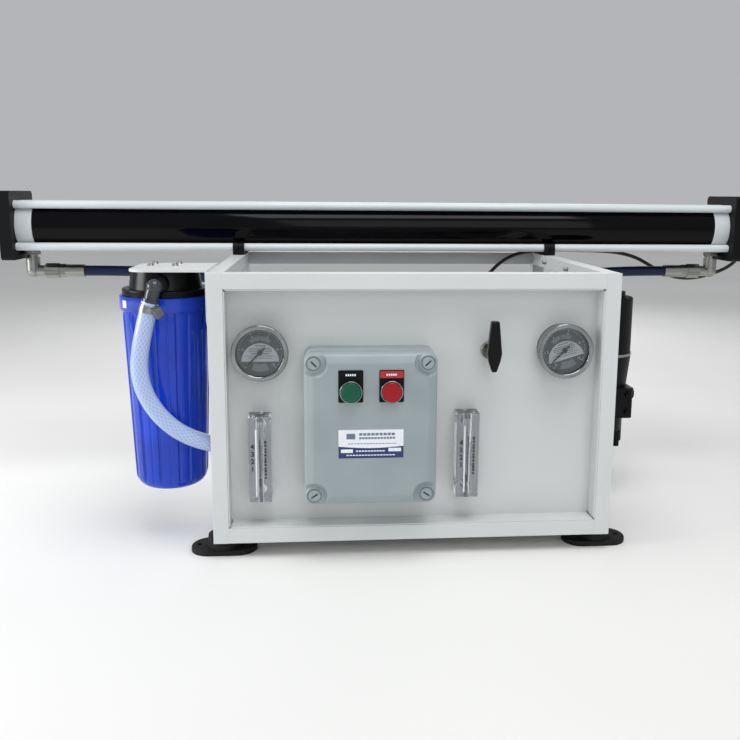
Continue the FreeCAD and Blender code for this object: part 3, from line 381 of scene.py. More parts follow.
# ---------------------------------------------------------------- mesh helpers
def settle(mesh, merge=False):
    """Merges doubled points where asked, and turns the normals outwards."""
    work = bmesh.new()
    work.from_mesh(mesh)
    if merge:
        bmesh.ops.remove_doubles(work, verts=work.verts, dist=1e-6)
    bmesh.ops.recalc_face_normals(work, faces=work.faces)
    work.to_mesh(mesh)
    work.free()


def link_piece(name, mesh, material):
    """A new object in the scene that carries the mesh in one material."""
    mesh.materials.clear()
    mesh.materials.append(material)
    piece = bpy.data.objects.new(name, mesh)
    bpy.context.scene.collection.objects.link(piece)
    return piece


def place_mesh(name, vertices, faces, material, crease=40.0):
    """Puts arrays of vertices and faces into a new smooth object, sharp where faces meet over the crease."""
    mesh = bpy.data.meshes.new(name)
    mesh.from_pydata(vertices.tolist(), [], faces.tolist())
    settle(mesh, merge=True)
    mesh.shade_smooth()
    mesh.set_sharp_from_angle(angle=math.radians(crease))
    return link_piece(name, mesh, material)


def grid_faces(rows, columns, wrap_rows=False, wrap_columns=False):
    """Four-cornered faces between neighbours of a grid, closed on itself where asked."""
    index = np.arange(rows * columns).reshape(rows, columns)
    if wrap_rows:
        index = np.vstack([index, index[:1]])
    if wrap_columns:
        index = np.hstack([index, index[:, :1]])
    corners = (index[:-1, :-1], index[:-1, 1:], index[1:, 1:], index[1:, :-1])
    return np.stack(corners, axis=-1).reshape(-1, 4)


def flat_shape(name, outline, front, thickness, material):
    """A thin print: an outline in X and Z raised from y = front + thickness to y = front."""
    outline = np.asarray(outline)
    count = len(outline)
    vertices = np.vstack([np.column_stack([outline[:, 0], np.full(count, y), outline[:, 1]])
                          for y in (front + thickness, front)])
    mesh = bpy.data.meshes.new(name)
    sides = grid_faces(2, count, wrap_columns=True).tolist()
    caps = [list(range(count))[::-1], list(range(count, 2 * count))]
    mesh.from_pydata(vertices.tolist(), [], sides + caps)
    mesh.validate()
    settle(mesh)
    return link_piece(name, mesh, material)


def join(name, pieces):
    """Joins pieces that share one material into one mesh, by adding their meshes up."""
    work = bmesh.new()
    for piece in pieces:
        work.from_mesh(piece.data)
    mesh = bpy.data.meshes.new(name)
    work.to_mesh(mesh)
    work.free()
    material = pieces[0].data.materials[0]
    for piece in pieces:
        bpy.data.objects.remove(piece)
    return link_piece(name, mesh, material)


def bar(x0, x1, z0, z1):
    """Corners of an upright rectangle."""
    return [(x0, z0), (x1, z0), (x1, z1), (x0, z1)]


def sector(centre, inner, outer, start, end, steps=48):
    """A ring sector: two arcs round the centre, from start to end in degrees, joined at their ends."""
    angle = np.radians(np.linspace(start, end, steps))
    out = np.column_stack([np.cos(angle), np.sin(angle)])
    return np.vstack([centre + outer * out, centre + inner * out[::-1]])


def figure(text, x, z, height, front, material, turn=0.0, bold=False):
    """A generic numeral as a thin mesh, upright in the XZ plane and centred at x, z."""
    curve = bpy.data.curves.new("figure", "FONT")
    curve.body = text
    curve.size = height * 1.4
    curve.extrude = 0.05 * MM
    curve.offset = 0.3 * MM if bold else 0.0
    curve.align_x = "CENTER"
    curve.align_y = "CENTER"
    holder = bpy.data.objects.new("figure", curve)
    bpy.context.scene.collection.objects.link(holder)
    bpy.context.view_layer.update()
    mesh = bpy.data.meshes.new_from_object(holder)
    bpy.data.objects.remove(holder)
    upright = Matrix.Rotation(math.radians(90), 4, "X")
    leaning = Matrix.Rotation(math.radians(turn), 4, "Y")
    mesh.transform(Matrix.Translation((x, front, z)) @ leaning @ upright)
    return link_piece("figure", mesh, material)


# ---------------------------------------------------------------- hoses
def hose_line(name, route):
    """The smooth line of a hose: a NURBS spline with the route's points, read back as a row of points."""
    curve = bpy.data.curves.new(name + "_line", "CURVE")
    curve.dimensions = "3D"
    curve.resolution_u = 20
    spline = curve.splines.new("NURBS")
    spline.points.add(len(route) - 1)
    spline.points.foreach_set("co", np.column_stack([route, np.ones(len(route))]).ravel())
    spline.order_u = 3
    spline.use_endpoint_u = True
    holder = bpy.data.objects.new(name + "_line", curve)
    bpy.context.scene.collection.objects.link(holder)
    bpy.context.view_layer.update()
    mesh = bpy.data.meshes.new_from_object(holder)
    line = np.empty(len(mesh.vertices) * 3)
    mesh.vertices.foreach_get("co", line)
    bpy.data.objects.remove(holder)
    return line.reshape(-1, 3)


def hose_tube(name, line, radius, material, steps=40):
    """A tube round a line: point = line + radius * (cos a * side + sin a * up), where side is square to
    the line; how far side drifts from one station to the next is summed and taken out, so that the tube
    never twists."""
    tangent = np.gradient(line, axis=0)
    tangent /= np.linalg.norm(tangent, axis=1)[:, None]
    lean = np.array([0.53, -0.61, 0.59])
    side = np.cross(tangent, lean)
    side /= np.linalg.norm(side, axis=1)[:, None]
    up = np.cross(tangent, side)
    before, after = tangent[:-1], tangent[1:]
    pivot = np.cross(before, after)
    spread = (1 + (before * after).sum(axis=1))[:, None]
    carried = side[:-1] + np.cross(pivot, side[:-1]) + np.cross(pivot, np.cross(pivot, side[:-1])) / spread
    drift = np.arctan2((carried * up[1:]).sum(axis=1), (carried * side[1:]).sum(axis=1))
    twist = np.concatenate([[0.0], np.cumsum(drift)])
    angle = np.linspace(0, 2 * math.pi, steps, endpoint=False)[None, :] + twist[:, None]
    ring = np.cos(angle)[..., None] * side[:, None, :] + np.sin(angle)[..., None] * up[:, None, :]
    wall = line[:, None, :] + radius * ring
    rows = len(line)
    length = np.concatenate([[0.0], np.cumsum(np.linalg.norm(np.diff(line, axis=0), axis=1))])
    faces = grid_faces(rows, steps, wrap_columns=True)
    first = rows * steps
    corner = np.arange(steps)
    cap_in = np.column_stack([np.full(steps, first), np.roll(corner, -1), corner])
    cap_out = np.column_stack([np.full(steps, first + 1), corner, np.roll(corner, -1)])
    cap_out[:, 1:] += (rows - 1) * steps
    vertices = np.vstack([wall.reshape(-1, 3), line[:1], line[-1:]])
    mesh = bpy.data.meshes.new(name)
    mesh.from_pydata(vertices.tolist(), [], faces.tolist() + cap_in.tolist() + cap_out.tolist())
    column = np.tile(np.array([0, 1, 1, 0]), len(faces)) + np.repeat(faces[:, 0] % steps, 4)
    row = np.tile(np.array([0, 0, 1, 1]), len(faces)) + np.repeat(faces[:, 0] // steps, 4)
    uv = np.column_stack([column / steps, length[row]])
    caps = np.zeros((2 * steps * 3, 2))
    layer = mesh.uv_layers.new(name="wall")
    layer.data.foreach_set("uv", np.vstack([uv, caps]).ravel())
    settle(mesh)
    mesh.shade_smooth()
    mesh.set_sharp_from_angle(angle=math.radians(50))
    return link_piece(name, mesh, material)


ELBOW_LEAN = math.radians(16)
ELBOW_WAY = np.array([-math.sin(ELBOW_LEAN), 0.0, -math.cos(ELBOW_LEAN)])
ELBOW_END = np.array([-331.0, -190.0, 358.5]) + 20 * ELBOW_WAY

FEED_ROUTE = [
    tuple(ELBOW_END), tuple(ELBOW_END + 54 * ELBOW_WAY), (-355, -189, 238), (-336, -185, 194),
    (-303, -177, 161), (-258, -165, 143), (-205, -155, 135), (-150, -139, 127),
    (-107, -107, 121), (-90, -60, 115), (-90, -10, 115),
]
LEFT_ROUTE = [
    (-507.5, 155, 348), (-425, 155, 348), (-345, 152, 342), (-275, 141, 332), (-222, 122, 316),
    (-149, 65, 284), (-123, 43, 247), (-110, 34, 204), (-110, 34, 160),
]
RIGHT_ROUTE = [
    (468.5, 155, 348), (390, 155, 348), (315, 152, 342), (250, 141, 334), (192, 118, 322),
    (146, 82, 306), (112, 36, 288), (98.5, -20, 273), (98.5, -80, 273),
]
PERMEATE_ROUTE = [
    (607.5, 155, 406), (607.5, 155, 378), (590, 163, 354), (556, 170, 339), (520, 174, 332),
    (484, 176, 338), (455, 176, 354), (424, 174, 371), (385, 172, 380), (325, 172, 382),
    (245, 172, 382.5), (200, 165, 374), (164, 148, 350), (132, 118, 312), (110, 78, 266),
    (98, 28, 226), (86, -24, 185), (76, -66, 140), (70, -98, 105.5), (69, -126, 93.5), (69, -149, 92),
]


def free_hose(node, route, radius, finish_name):
    """One hose: its line, its wall, and what it stands for."""
    line = hose_line(node, np.array(route) * MM)
    piece = hose_tube(node + "_wall", line, radius, finish(finish_name))
    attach(piece, "skid")
    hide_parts(node)
    return piece


# ---------------------------------------------------------------- settings
class StageSettings(bpy.types.PropertyGroup):
    """The stand-in studio: lens and lights."""
    lens: FloatProperty(name="Lens", description="Focal length in millimetres", default=41.06, min=10)
    key: FloatProperty(name="Key light", description="Power of the soft key light", default=24.0,
                       unit="POWER")
    side: FloatProperty(name="Side light", description="Power of the left side light", default=20.0,
                        unit="POWER")
    fill: FloatProperty(name="Fill light", description="Power of the wide front fill", default=7.0,
                        unit="POWER")
    sky: FloatProperty(name="Room light", description="Strength of the even room light", default=0.5, min=0)


class SumpSettings(bpy.types.PropertyGroup):
    """Sizes of the filter sump's ribs and of its ring's grips."""
    ribs: IntProperty(name="Ribs", description="Number of upright ribs", default=12, min=3)
    rib_height: FloatProperty(name="Rib height", description="How far a rib stands proud", default=1.4 * MM,
                              unit="LENGTH")
    rib_width: FloatProperty(name="Rib width", description="Width of a rib at its foot", default=7.0 * MM,
                             unit="LENGTH")
    ring_teeth: IntProperty(name="Ring grips", description="Grips round the top ring", default=24, min=3)


class LidSettings(bpy.types.PropertyGroup):
    """Sizes of the control box lid."""
    border: FloatProperty(name="Border", description="Width of the sloping border", default=13.0 * MM,
                          unit="LENGTH")
    fall: FloatProperty(name="Fall", description="How far the border falls back", default=4.0 * MM,
                        unit="LENGTH")
    recess: FloatProperty(name="Recess radius", description="Radius of the recess at each screw",
                          default=17.0 * MM, unit="LENGTH")
    wall: FloatProperty(name="Wall", description="Wall thickness", default=2.6 * MM, unit="LENGTH")


class MakerSettings(bpy.types.PropertyGroup):
    """All settings of the water maker."""
    stage: PointerProperty(type=StageSettings)
    sump: PointerProperty(type=SumpSettings)
    lid: PointerProperty(type=LidSettings)


# ---------------------------------------------------------------- operators
class WATERMAKER_OT_stage(bpy.types.Operator):
    """Makes the camera, the pale floor and the soft lights"""
    bl_idname = "watermaker.stage"
    bl_label = "Stage"

    def execute(self, context):
        choice = context.scene.water_maker.stage
        camera = bpy.data.cameras.new("front_camera")
        camera.sensor_width = 36
        camera.lens = choice.lens
        camera.shift_x = -0.0307
        camera.shift_y = -0.0391
        camera.clip_end = 50
        holder = bpy.data.objects.new("front_camera", camera)
        yaw = Matrix.Rotation(-0.08394, 4, "Z")
        pitch = Matrix.Rotation(math.pi / 2 - 0.17267, 4, "X")
        roll = Matrix.Rotation(0.00815, 4, "Z")
        holder.matrix_world = Matrix.Translation((-0.1209, -1.2638, 0.4758)) @ yaw @ pitch @ roll
        context.scene.collection.objects.link(holder)
        context.scene.camera = holder
        self.add_floor()
        self.add_light(context, "key_light", (0.15, -0.75, 2.1), 1.3, choice.key)
        self.add_light(context, "side_light", (-1.9, -0.45, 0.7), 0.8, choice.side)
        self.add_light(context, "front_light", (0.4, -2.3, 1.1), 1.4, choice.fill)
        self.add_light(context, "back_light", (0.3, 1.9, 1.3), 1.5, 0.6 * choice.side)
        world = bpy.data.worlds.new("studio")
        world.use_nodes = True
        background = world.node_tree.nodes["Background"]
        background.inputs["Color"].default_value = linear("#f4f6fa")
        background.inputs["Strength"].default_value = choice.sky
        context.scene.world = world
        context.scene.view_settings.view_transform = "Standard"
        return {"FINISHED"}

    def add_floor(self):
        """A wide flat floor at the foot of the machine."""
        span = 6.0
        corners = [(-span, -span, 0), (span, -span, 0), (span, span, 0), (-span, span, 0)]
        mesh = bpy.data.meshes.new("studio_floor")
        mesh.from_pydata(corners, [], [(0, 1, 2, 3)])
        material, tree, principled = start_material("studio_floor", IOR=1.45)
        tint(tree, principled, places(tree), 1.5, "#ecece9", "#e6e6e3")
        principled.inputs["Roughness"].default_value = 0.7
        floor = link_piece("studio_floor", mesh, material)

    def add_light(self, context, name, place, size, power):
        """A square soft light that faces the middle of the machine."""
        lamp = bpy.data.lights.new(name, "AREA")
        lamp.size = size
        lamp.energy = power
        holder = bpy.data.objects.new(name, lamp)
        middle = Vector((0.0, 0.0, 0.22))
        way = Vector(place) - middle
        holder.location = place
        holder.rotation_euler = way.to_track_quat("Z", "Y").to_euler()
        context.scene.collection.objects.link(holder)


class WATERMAKER_OT_hoses(bpy.types.Operator):
    """Makes the four hoses along their routes"""
    bl_idname = "watermaker.hoses"
    bl_label = "Hoses"

    def execute(self, context):
        free_hose("feed_hose", FEED_ROUTE, 11.0 * MM, "braided_vinyl")
        free_hose("pressure_hose_left", LEFT_ROUTE, 8.4 * MM, "pressure_cover")
        free_hose("pressure_hose_right", RIGHT_ROUTE, 8.4 * MM, "pressure_cover")
        free_hose("permeate_tube", PERMEATE_ROUTE, 3.0 * MM, "nylon_tube")
        return {"FINISHED"}


class WATERMAKER_OT_finishes(bpy.types.Operator):
    """Gives every carried-over part its finish"""
    bl_idname = "watermaker.finishes"
    bl_label = "Finishes"

    def execute(self, context):
        for node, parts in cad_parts.items():
            for part in parts if isinstance(parts, list) else [parts]:
                for slot in part.material_slots:
                    slot.material = finish(NODE_FINISH[node])
        return {"FINISHED"}


class WATERMAKER_OT_sump(bpy.types.Operator):
    """Makes the ribbed filter sump with its grip ring and its small label"""
    bl_idname = "watermaker.sump"
    bl_label = "Filter sump"

    def execute(self, context):
        choice = context.scene.water_maker.sump
        low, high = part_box("filter_sump")
        centre = np.array([(low[0] + high[0]) / 2, (low[1] + high[1]) / 2])
        ring_radius = (high[0] - low[0]) / 2
        piece = self.shell(choice, centre, low[2], high[2], ring_radius)
        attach(piece, "sump")
        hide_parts("filter_sump")
        label = self.ring_label(centre, high[2], ring_radius)
        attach(label, "sump")
        return {"FINISHED"}

    def shell(self, choice, centre, bottom, top, ring_radius):
        """The sump as one closed wall. Height and radius follow a profile from the inner floor up, over the
        rim and down the outside to the base. Outside, radius = profile + window(z) * relief(a), where
        relief is a flat-topped rib with a soft groove at each side, repeated round the sump, and window
        fades it out under the ring and above the base. The ring has shallow grips all round."""
        top_radius, base_radius, wall = 56 * MM, 46.5 * MM, 4 * MM
        ring_low = top - 19 * MM
        heel = 14 * MM
        heel_turn = np.radians(np.linspace(8, 90, 12))
        height = np.concatenate([
            [bottom + wall, bottom + wall, top - 12 * MM, top - 0.6 * MM, top, top, top - 0.8 * MM],
            [ring_low + 1.5 * MM, ring_low + 0.3 * MM, ring_low],
            np.linspace(ring_low - 0.6 * MM, bottom + heel, 60),
            bottom + heel * (1 - np.sin(heel_turn)),
            [bottom, bottom],
        ])
        taper = (top_radius - base_radius) / (ring_low - bottom)
        side = base_radius + taper * (height - bottom)
        round_off = heel * (1 - np.cos(heel_turn))
        radius = side.copy()
        radius[0] = 0.0
        radius[1] = base_radius - wall - 4 * MM
        radius[2:4] = top_radius - wall
        radius[4] = top_radius - wall + 0.6 * MM
        radius[5] = ring_radius - 0.9 * MM
        radius[6] = ring_radius
        radius[7] = ring_radius
        radius[8] = ring_radius - 0.8 * MM
        radius[9] = ring_radius - 2.2 * MM
        radius[70:82] = side[70:82] - round_off
        radius[82] = radius[81] - 3 * MM
        radius[83] = 0.0
        steps = 480
        angle = np.linspace(0, 2 * math.pi, steps, endpoint=False)
        below_ring = np.clip((ring_low - height) / (10 * MM), 0, 1)
        window = below_ring * np.clip((height - bottom - 7 * MM) / (9 * MM), 0, 1)
        window[:10] = 0
        pitch = 2 * math.pi / choice.ribs
        offset = np.abs((angle / pitch) % 1 - 0.5) * pitch * base_radius
        rib = np.clip((choice.rib_width / 2 + 0.9 * MM - offset) / (0.9 * MM), 0, 1)
        groove = np.exp(-((offset - choice.rib_width / 2 - 2.2 * MM) / (1.2 * MM)) ** 2)
        relief = choice.rib_height * rib - 0.9 * MM * groove
        grip = np.clip(np.cos(angle * choice.ring_teeth) * 3 - 2, 0, 1)
        in_ring = np.zeros_like(height)
        in_ring[6:9] = 1
        outer = radius[:, None] + window[:, None] * relief[None, :]
        outer = outer - in_ring[:, None] * grip[None, :] * 0.12 * MM
        x = centre[0] + outer * np.cos(angle)
        y = centre[1] + outer * np.sin(angle)
        z = np.repeat(height[:, None], steps, axis=1)
        points = np.stack([x, y, z], axis=-1).reshape(-1, 3)
        faces = grid_faces(len(height), steps, wrap_columns=True)
        return place_mesh("sump_shell", points, faces, finish("sump_blue"), 35.0)

    def ring_label(self, centre, top, ring_radius):
        """A small blank film on the ring: a patch of a cylinder 0.35 mm proud of it, about 9.5 mm square."""
        angle = np.radians(np.linspace(215, 224, 12))
        height = np.linspace(top - 14 * MM, top - 4.5 * MM, 2)
        grid_angle, grid_height = np.meshgrid(angle, height)
        layers = []
        for radius in (ring_radius + 0.05 * MM, ring_radius + 0.35 * MM):
            x = centre[0] + radius * np.cos(grid_angle)
            y = centre[1] + radius * np.sin(grid_angle)
            layers.append(np.stack([x, y, grid_height], axis=-1))
        loop = np.concatenate([layers[0], layers[1][::-1]])
        points = loop.reshape(-1, 3)
        faces = grid_faces(4, len(angle), wrap_rows=True)
        return place_mesh("ring_label", points, faces, finish("film_white"))


SCREW_PLACES = ("upper_left", "upper_right", "lower_left", "lower_right")


class WATERMAKER_OT_lid(bpy.types.Operator):
    """Makes the moulded control box lid with its soft border and screw recesses"""
    bl_idname = "watermaker.lid"
    bl_label = "Box lid"

    def execute(self, context):
        choice = context.scene.water_maker.lid
        low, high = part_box("box_lid")
        piece = self.shell(choice, low, high)
        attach(piece, "lid")
        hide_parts("box_lid")
        for place, lean in zip(SCREW_PLACES, (45, -45, -35, 35)):
            self.painted_slot_shade(place, math.radians(lean))
        return {"FINISHED"}

    def painted_slot_shade(self, place, lean):
        """Painted shade in a screw's slot: a slim dark bar across the middle of the head, turned by lean, in
        black ink where the slot's bottom lies in shade.
        """
        low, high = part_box("lid_screw_" + place)
        centre = np.array([(low[0] + high[0]) / 2, (low[2] + high[2]) / 2])
        along = np.array([math.cos(lean), -math.sin(lean)]) * 3.4 * MM
        across = np.array([math.sin(lean), math.cos(lean)]) * 0.75 * MM
        corners = [centre - along - across, centre + along - across, centre + along + across,
                   centre - along + across]
        sunk = low[1] + 0.2 * MM
        # painted shade: the slot's shaded bottom drawn as a bar of black ink
        piece = flat_shape("painted_slot_shade_" + place, corners, sunk, 0.6 * MM, finish("ink_dark"))
        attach(piece, "lid_screw_" + place)

    def shell(self, choice, low, high):
        """The lid's skin as a height over X and Z: flat in the middle, falling over the border as a smooth
        step, rounded at the edge as a quarter circle, and set back in a disc round each screw with a raised
        ring inside it; the side wall is the edge loop carried straight back."""
        corner = 11 * MM
        half = np.array([(high[0] - low[0]) / 2, (high[2] - low[2]) / 2])
        centre = np.array([(high[0] + low[0]) / 2, (high[2] + low[2]) / 2])
        edge = np.array([0, 0.08, 0.25, 0.5, 0.85, 1.3, 1.9, 2.6, 3.4]) * MM
        margin = 4.2 * MM
        across = [np.concatenate([edge, np.linspace(margin, 2 * size - margin, count), 2 * size - edge[::-1]])
                  - size for size, count in zip(half, (170, 200))]
        x, z = np.meshgrid(across[0], across[1], indexing="ij")
        over_x = np.maximum(np.abs(x) - (half[0] - corner), 0)
        over_z = np.maximum(np.abs(z) - (half[1] - corner), 0)
        longest = np.maximum(over_x, over_z)
        distance = np.hypot(over_x, over_z)
        pull = np.where(distance > 0, longest / np.maximum(distance, 1e-9), 1.0)
        x = np.sign(x) * (np.minimum(np.abs(x), half[0] - corner) + over_x * pull)
        z = np.sign(z) * (np.minimum(np.abs(z), half[1] - corner) + over_z * pull)
        inside = np.where(longest > 0, corner - longest, corner + np.minimum(
            half[0] - corner - np.abs(x), half[1] - corner - np.abs(z)))
        blend = np.clip(inside / choice.border, 0, 1)
        back = choice.fall * (1 - blend * blend * (3 - 2 * blend))
        roll = 4.5 * MM
        back = back + roll - np.sqrt(np.maximum(roll ** 2 - np.maximum(roll - inside, 0) ** 2, 0))
        back = np.minimum(back, choice.fall + roll)
        face = low[1]
        floor = 5.0 * MM
        for place in SCREW_PLACES:
            screw_low, screw_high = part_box("lid_screw_" + place)
            sx = (screw_low[0] + screw_high[0]) / 2 - centre[0]
            sz = (screw_low[2] + screw_high[2]) / 2 - centre[1]
            from_screw = np.hypot(x - sx, z - sz)
            step = np.clip((choice.recess - from_screw) / (1.6 * MM), 0, 1)
            step = step * step * (3 - 2 * step)
            ring = np.exp(-((from_screw - 10.3 * MM) / (1.3 * MM)) ** 2)
            set_back = np.maximum(back, floor) - 2.0 * MM * ring
            back = back * (1 - step) + np.maximum(set_back, back - 2.0 * MM * ring) * step
        y = face + back
        skin = np.stack([centre[0] + x, y, centre[1] + z], axis=-1)
        rim = np.concatenate([skin[:, 0], skin[-1, 1:], skin[-2::-1, -1], skin[0, -2:0:-1]])
        rows = np.linspace(0, 1, 6)[:, None, None]
        wall = rim[None, :, :] * np.array([1.0, 0.0, 1.0])
        wall = wall + np.array([0.0, 1.0, 0.0]) * (rim[None, :, 1:2] * (1 - rows) + high[1] * rows)
        count = skin.shape[0] * skin.shape[1]
        faces = np.vstack([grid_faces(*skin.shape[:2]), count + grid_faces(6, len(rim), wrap_columns=True)])
        points = np.vstack([skin.reshape(-1, 3), wall.reshape(-1, 3)])
        piece = place_mesh("lid_shell", points, faces, finish("grey_box"), 50.0)
        self.face_outwards(piece)
        thicken = piece.modifiers.new("wall", "SOLIDIFY")
        thicken.thickness = choice.wall
        thicken.offset = -1.0
        return piece

    def face_outwards(self, piece):
        """An open shell may be turned inside out as a whole; its first face has to look to the front."""
        if piece.data.polygons[0].normal.y > 0:
            piece.data.flip_normals()


def on_plate(x0, x1, z0, z1, front, material, name):
    """A thin rectangle of ink or film on a plate that faces the front."""
    return flat_shape(name, bar(x0, x1, z0, z1), front - 0.12 * MM, 0.12 * MM, material)


class WATERMAKER_OT_label(bpy.types.Operator):
    """Makes the two-colour label and the prints on the button plates, with bars in place of words"""
    bl_idname = "watermaker.label"
    bl_label = "Labels"

    def execute(self, context):
        low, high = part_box("box_lid")
        face = low[1]
        middle = (low[0] + high[0]) / 2
        centre_z = (low[2] + high[2]) / 2 - 17 * MM
        self.plain_label(middle, centre_z, face)
        self.plate_prints()
        return {"FINISHED"}

    def plain_label(self, middle, centre_z, face):
        """A label of 82 by 37 mm without words: white above with a square and rows of bars, navy below
        with a shallow dip in its upper edge. Each row is left, right, height, thickness and bars, in
        millimetres from the middle."""
        x0, x1 = middle - 41 * MM, middle + 41 * MM
        z0, z1 = centre_z - 18.5 * MM, centre_z + 18.5 * MM
        split = z0 + 15.5 * MM
        base = on_plate(x0, x1, z0, z1, face, finish("film_white"), "label_white")
        share = np.linspace(0, 1, 40)
        arc = np.column_stack([x1 + (x0 - x1) * share, split - 2.4 * MM * np.sin(math.pi * share)])
        band = flat_shape("label_navy", np.vstack([[(x0, z0), (x1, z0)], arc]), face - 0.2 * MM, 0.08 * MM,
                          finish("ink_navy"))
        rows = ((-15, 31, 12.6, 3.2, 9), (-15, 31, 7.6, 2.6, 12), (-29, 33, 0.4, 0.9, 16))
        bars = [on_plate(left, right, low_z, high_z, face - 0.12 * MM, finish("film_grey"), "label_bar")
                for row in rows for left, right, low_z, high_z in self.words(middle, centre_z, *row)]
        bars.append(on_plate(middle - 31 * MM, middle - 20 * MM, centre_z + 6.4 * MM, centre_z + 13.6 * MM,
                             face - 0.12 * MM, finish("film_grey"), "label_square"))
        grey = join("label_bars", bars)
        rows = ((-38, -23, -9.0, 4.6, 1), (22, 38, -7.8, 4.6, 1), (-19, 18, -9.2, 1.6, 10),
                (-31, 31, -14.6, 1.3, 16))
        white = join("label_white_bars", [
            on_plate(left, right, low_z, high_z, face - 0.2 * MM, finish("film_white"), "label_white_bar")
            for row in rows for left, right, low_z, high_z in self.words(middle, centre_z, *row)])
        for piece in (base, band, grey, white):
            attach(piece, "lid")

    def words(self, middle, centre_z, left, right, height, thick, count):
        """A row of equal bars with narrow gaps, in millimetres from the label's centre."""
        step = (right - left) / count
        gap = 0.22 * step if count > 1 else 0
        low, high = centre_z + (height - thick / 2) * MM, centre_z + (height + thick / 2) * MM
        starts = [left + k * step for k in range(count)]
        return [(middle + start * MM, middle + (start + step - gap) * MM, low, high) for start in starts]

    def plate_prints(self):
        """A short white bar on the left plate, and a red strip with a white bar on the right plate."""
        low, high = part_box("legend_plates")
        width = 31 * MM
        left_middle = low[0] + width / 2
        right_middle = high[0] - width / 2
        front = low[1]
        half_strip = 14.6 * MM
        strip = on_plate(right_middle - half_strip, right_middle + half_strip, high[2] - 10.2 * MM,
                         high[2] - 1.2 * MM, front, finish("film_red"), "plate_red_strip")
        marks = []
        for middle in (left_middle, right_middle):
            for k in range(5):
                start = middle - 6.5 * MM + k * 2.7 * MM
                marks.append(on_plate(start, start + 1.9 * MM, high[2] - 7.2 * MM, high[2] - 4.6 * MM,
                                      front - 0.12 * MM, finish("film_white"), "plate_mark"))
        white = join("plate_marks", marks)
        for piece in (strip, white):
            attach(piece, "lid")


class WATERMAKER_OT_dials(bpy.types.Operator):
    """Prints the two pressure gauge dials"""
    bl_idname = "watermaker.dials"
    bl_label = "Gauge dials"

    def execute(self, context):
        low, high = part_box("gauge_dials")
        radius = (high[2] - low[2]) / 2
        centre_z = (high[2] + low[2]) / 2
        for name, x, lean in (("left", low[0] + radius, 0.0), ("right", high[0] - radius, 17.0)):
            self.print_dial(name, np.array([x, centre_z]), low[1], lean)
        return {"FINISHED"}

    def print_dial(self, name, centre, front, lean):
        """One dial: a light half disc with its flat side down, two grey bands, ticks every 1/50 of the
        scale, numerals at every tenth of it, and bars in place of words; lean turns it all."""
        turn = math.radians(lean)
        away = np.array([math.sin(turn), -math.cos(turn)])
        along = np.array([math.cos(turn), math.sin(turn)])

        def arc(label, middle, inner, outer, start, end, look, steps=48, lift=0.1, thick=0.1):
            """A printed ring sector, in millimetres and in degrees before the lean."""
            outline = sector(middle, inner * MM, outer * MM, start + lean, end + lean, steps)
            return flat_shape(label, outline, front - lift * MM, thick * MM, finish(look))

        light = [arc("half_disc", centre + 12.0 * MM * away, 0.01, 24, 0, 180, "dial_light")]
        band = [arc("band", centre, 15.5, outer, start, end, "dial_band", lift=0.08, thick=0.08)
                for outer, start, end in ((21, 48, 132), (25, 243, 297))]
        for k in range(51):
            spot = 225 - 5.4 * k
            long = 3.2 if k % 10 == 0 else (2.3 if k % 5 == 0 else 1.5)
            width = 0.9 if k % 10 == 0 else 0.55
            light.append(arc("tick", centre, 28.6 - long, 28.6, spot - width, spot + width, "dial_light", 4))
        for k in range(6):
            spot = math.radians(225 - 54 * k + lean)
            x, z = centre + 22.4 * MM * np.array([math.cos(spot), math.sin(spot)])
            light.append(figure(str(2 * k), x, z, 3.4 * MM, front - 0.08 * MM, finish("dial_light"), -lean))
        dark = []
        for height, reach, thick in ((8.8, 7.0, 1.1), (5.6, 13.0, 0.8), (3.4, 15.0, 0.9), (1.0, 15.0, 0.8),
                                     (-1.6, 12.0, 1.1), (-4.6, 17.0, 0.8), (-7.4, 15.0, 0.8)):
            row = centre - height * MM * away
            rise = thick * MM / 2 * -away
            gaps = np.linspace(-reach, reach, max(3, int(reach / 1.3)))
            for start, stop in zip(gaps[:-1], gaps[1:]):
                a = row + (start + 0.25) * MM * along
                b = row + (stop - 0.25) * MM * along
                corners = [a - rise, b - rise, b + rise, a + rise]
                dark.append(flat_shape("word", corners, front - 0.16 * MM, 0.06 * MM, finish("ink_dark")))
        dark.append(arc("tick", centre, 15.0, 21.5, 89.2, 90.8, "ink_dark", 4, lift=0.14, thick=0.06))
        for piece in (join(name + "_dial_light", light), join(name + "_dial_band", band),
                      join(name + "_dial_marks", dark)):
            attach(piece, "skid")


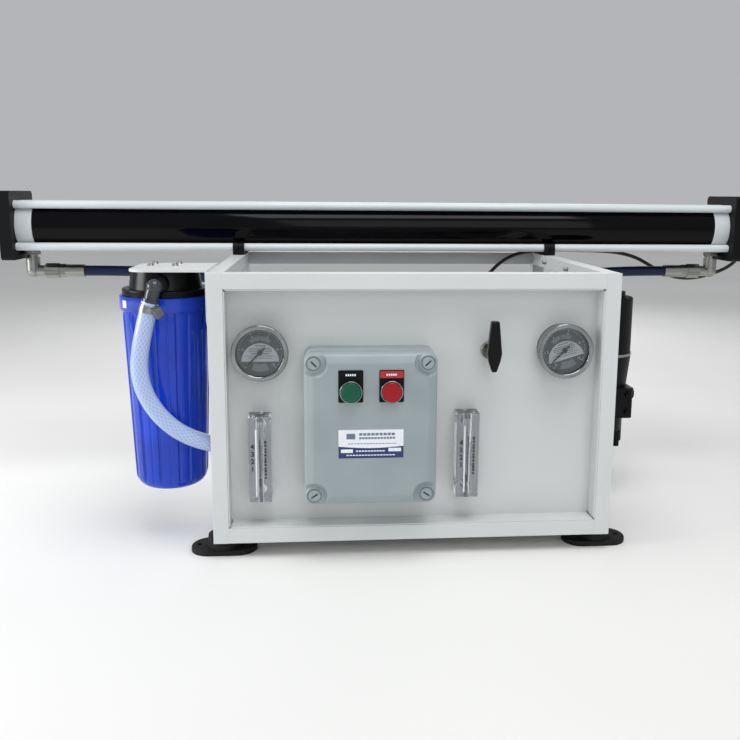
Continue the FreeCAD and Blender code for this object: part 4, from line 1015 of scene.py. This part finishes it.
class WATERMAKER_OT_meter_scales(bpy.types.Operator):
    """Prints the scales on the two flow meters"""
    bl_idname = "watermaker.meter_scales"
    bl_label = "Flow meter scales"

    def execute(self, context):
        low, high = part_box("flow_meter_bodies")
        for name in ("left", "right"):
            float_low, float_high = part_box(name + "_flow_float")
            middle = (float_low[0] + float_high[0]) / 2
            foot = float_low[2] - 15.3 * MM
            self.print_scale(name, middle, foot, low[1])
        return {"FINISHED"}

    def print_scale(self, name, middle, foot, front):
        """Four bold numerals up the left side, a fine scale right of the middle, a row of small bars in place
        of the unit at the right edge, and a painted highlight between numerals and middle: a pale upright
        strip of white film along the bore."""
        ink = finish("ink_dark")

        def mark(left, right, low, high, look=ink, label="tick"):
            """A printed bar, in millimetres from the middle of the meter and up from its foot."""
            return on_plate(middle + left * MM, middle + right * MM, foot + low * MM, foot + high * MM, front,
                            look, label)

        # painted highlight: white film where light glints along the rounded bore
        strip = mark(-5.6, -3.8, 8, 98, finish("film_white"), name + "_meter_painted_highlight")
        marks = [mark(-0.5, 0.5, 22, 84)]
        for k in range(4):
            spot = 45 + 10 * k
            marks.append(figure(str(k + 1), middle - 9.2 * MM, foot + spot * MM, 6.6 * MM, front - 0.08 * MM,
                                ink, bold=True))
            marks.append(mark(1.6, 4.6, spot - 0.4, spot + 0.4))
        for k in range(16):
            spot = 45 + 2 * k
            marks.append(mark(1.6, 3.6, spot - 0.25, spot + 0.25))
        for k in range(12):
            spot = 32 + 4.3 * k
            marks.append(mark(6.0, 8.8, spot, spot + 2.4 + (k % 3) * 0.6))
        for piece in (join(name + "_meter_scale", marks), strip):
            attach(piece, "skid")


OPERATORS = (
    WATERMAKER_OT_stage,
    WATERMAKER_OT_hoses,
    WATERMAKER_OT_finishes,
    WATERMAKER_OT_sump,
    WATERMAKER_OT_lid,
    WATERMAKER_OT_label,
    WATERMAKER_OT_dials,
    WATERMAKER_OT_meter_scales,
)


class WATERMAKER_PT_panel(bpy.types.Panel):
    """Lists the pieces in the order in which they are made"""
    bl_idname = "WATERMAKER_PT_panel"
    bl_label = "Water maker"
    bl_space_type = "VIEW_3D"
    bl_region_type = "UI"
    bl_category = "Water maker"

    def draw(self, context):
        for operator in OPERATORS:
            self.layout.operator(operator.bl_idname)
        for group in ("stage", "sump", "lid"):
            settings = getattr(context.scene.water_maker, group)
            for key in settings.__annotations__:
                self.layout.prop(settings, key)


CLASSES = (StageSettings, SumpSettings, LidSettings, MakerSettings, *OPERATORS, WATERMAKER_PT_panel)


def register():
    """Registers the classes and hangs the settings on the scene."""
    for kind in CLASSES:
        bpy.utils.register_class(kind)
    bpy.types.Scene.water_maker = PointerProperty(type=MakerSettings)


def unregister():
    """Takes the settings and classes away again."""
    del bpy.types.Scene.water_maker
    for kind in reversed(CLASSES):
        bpy.utils.unregister_class(kind)


def main():
    """Makes every piece in order."""
    register()
    for operator in OPERATORS:
        group, name = operator.bl_idname.split(".")
        getattr(getattr(bpy.ops, group), name)()


if __name__ == "__main__":
    main()
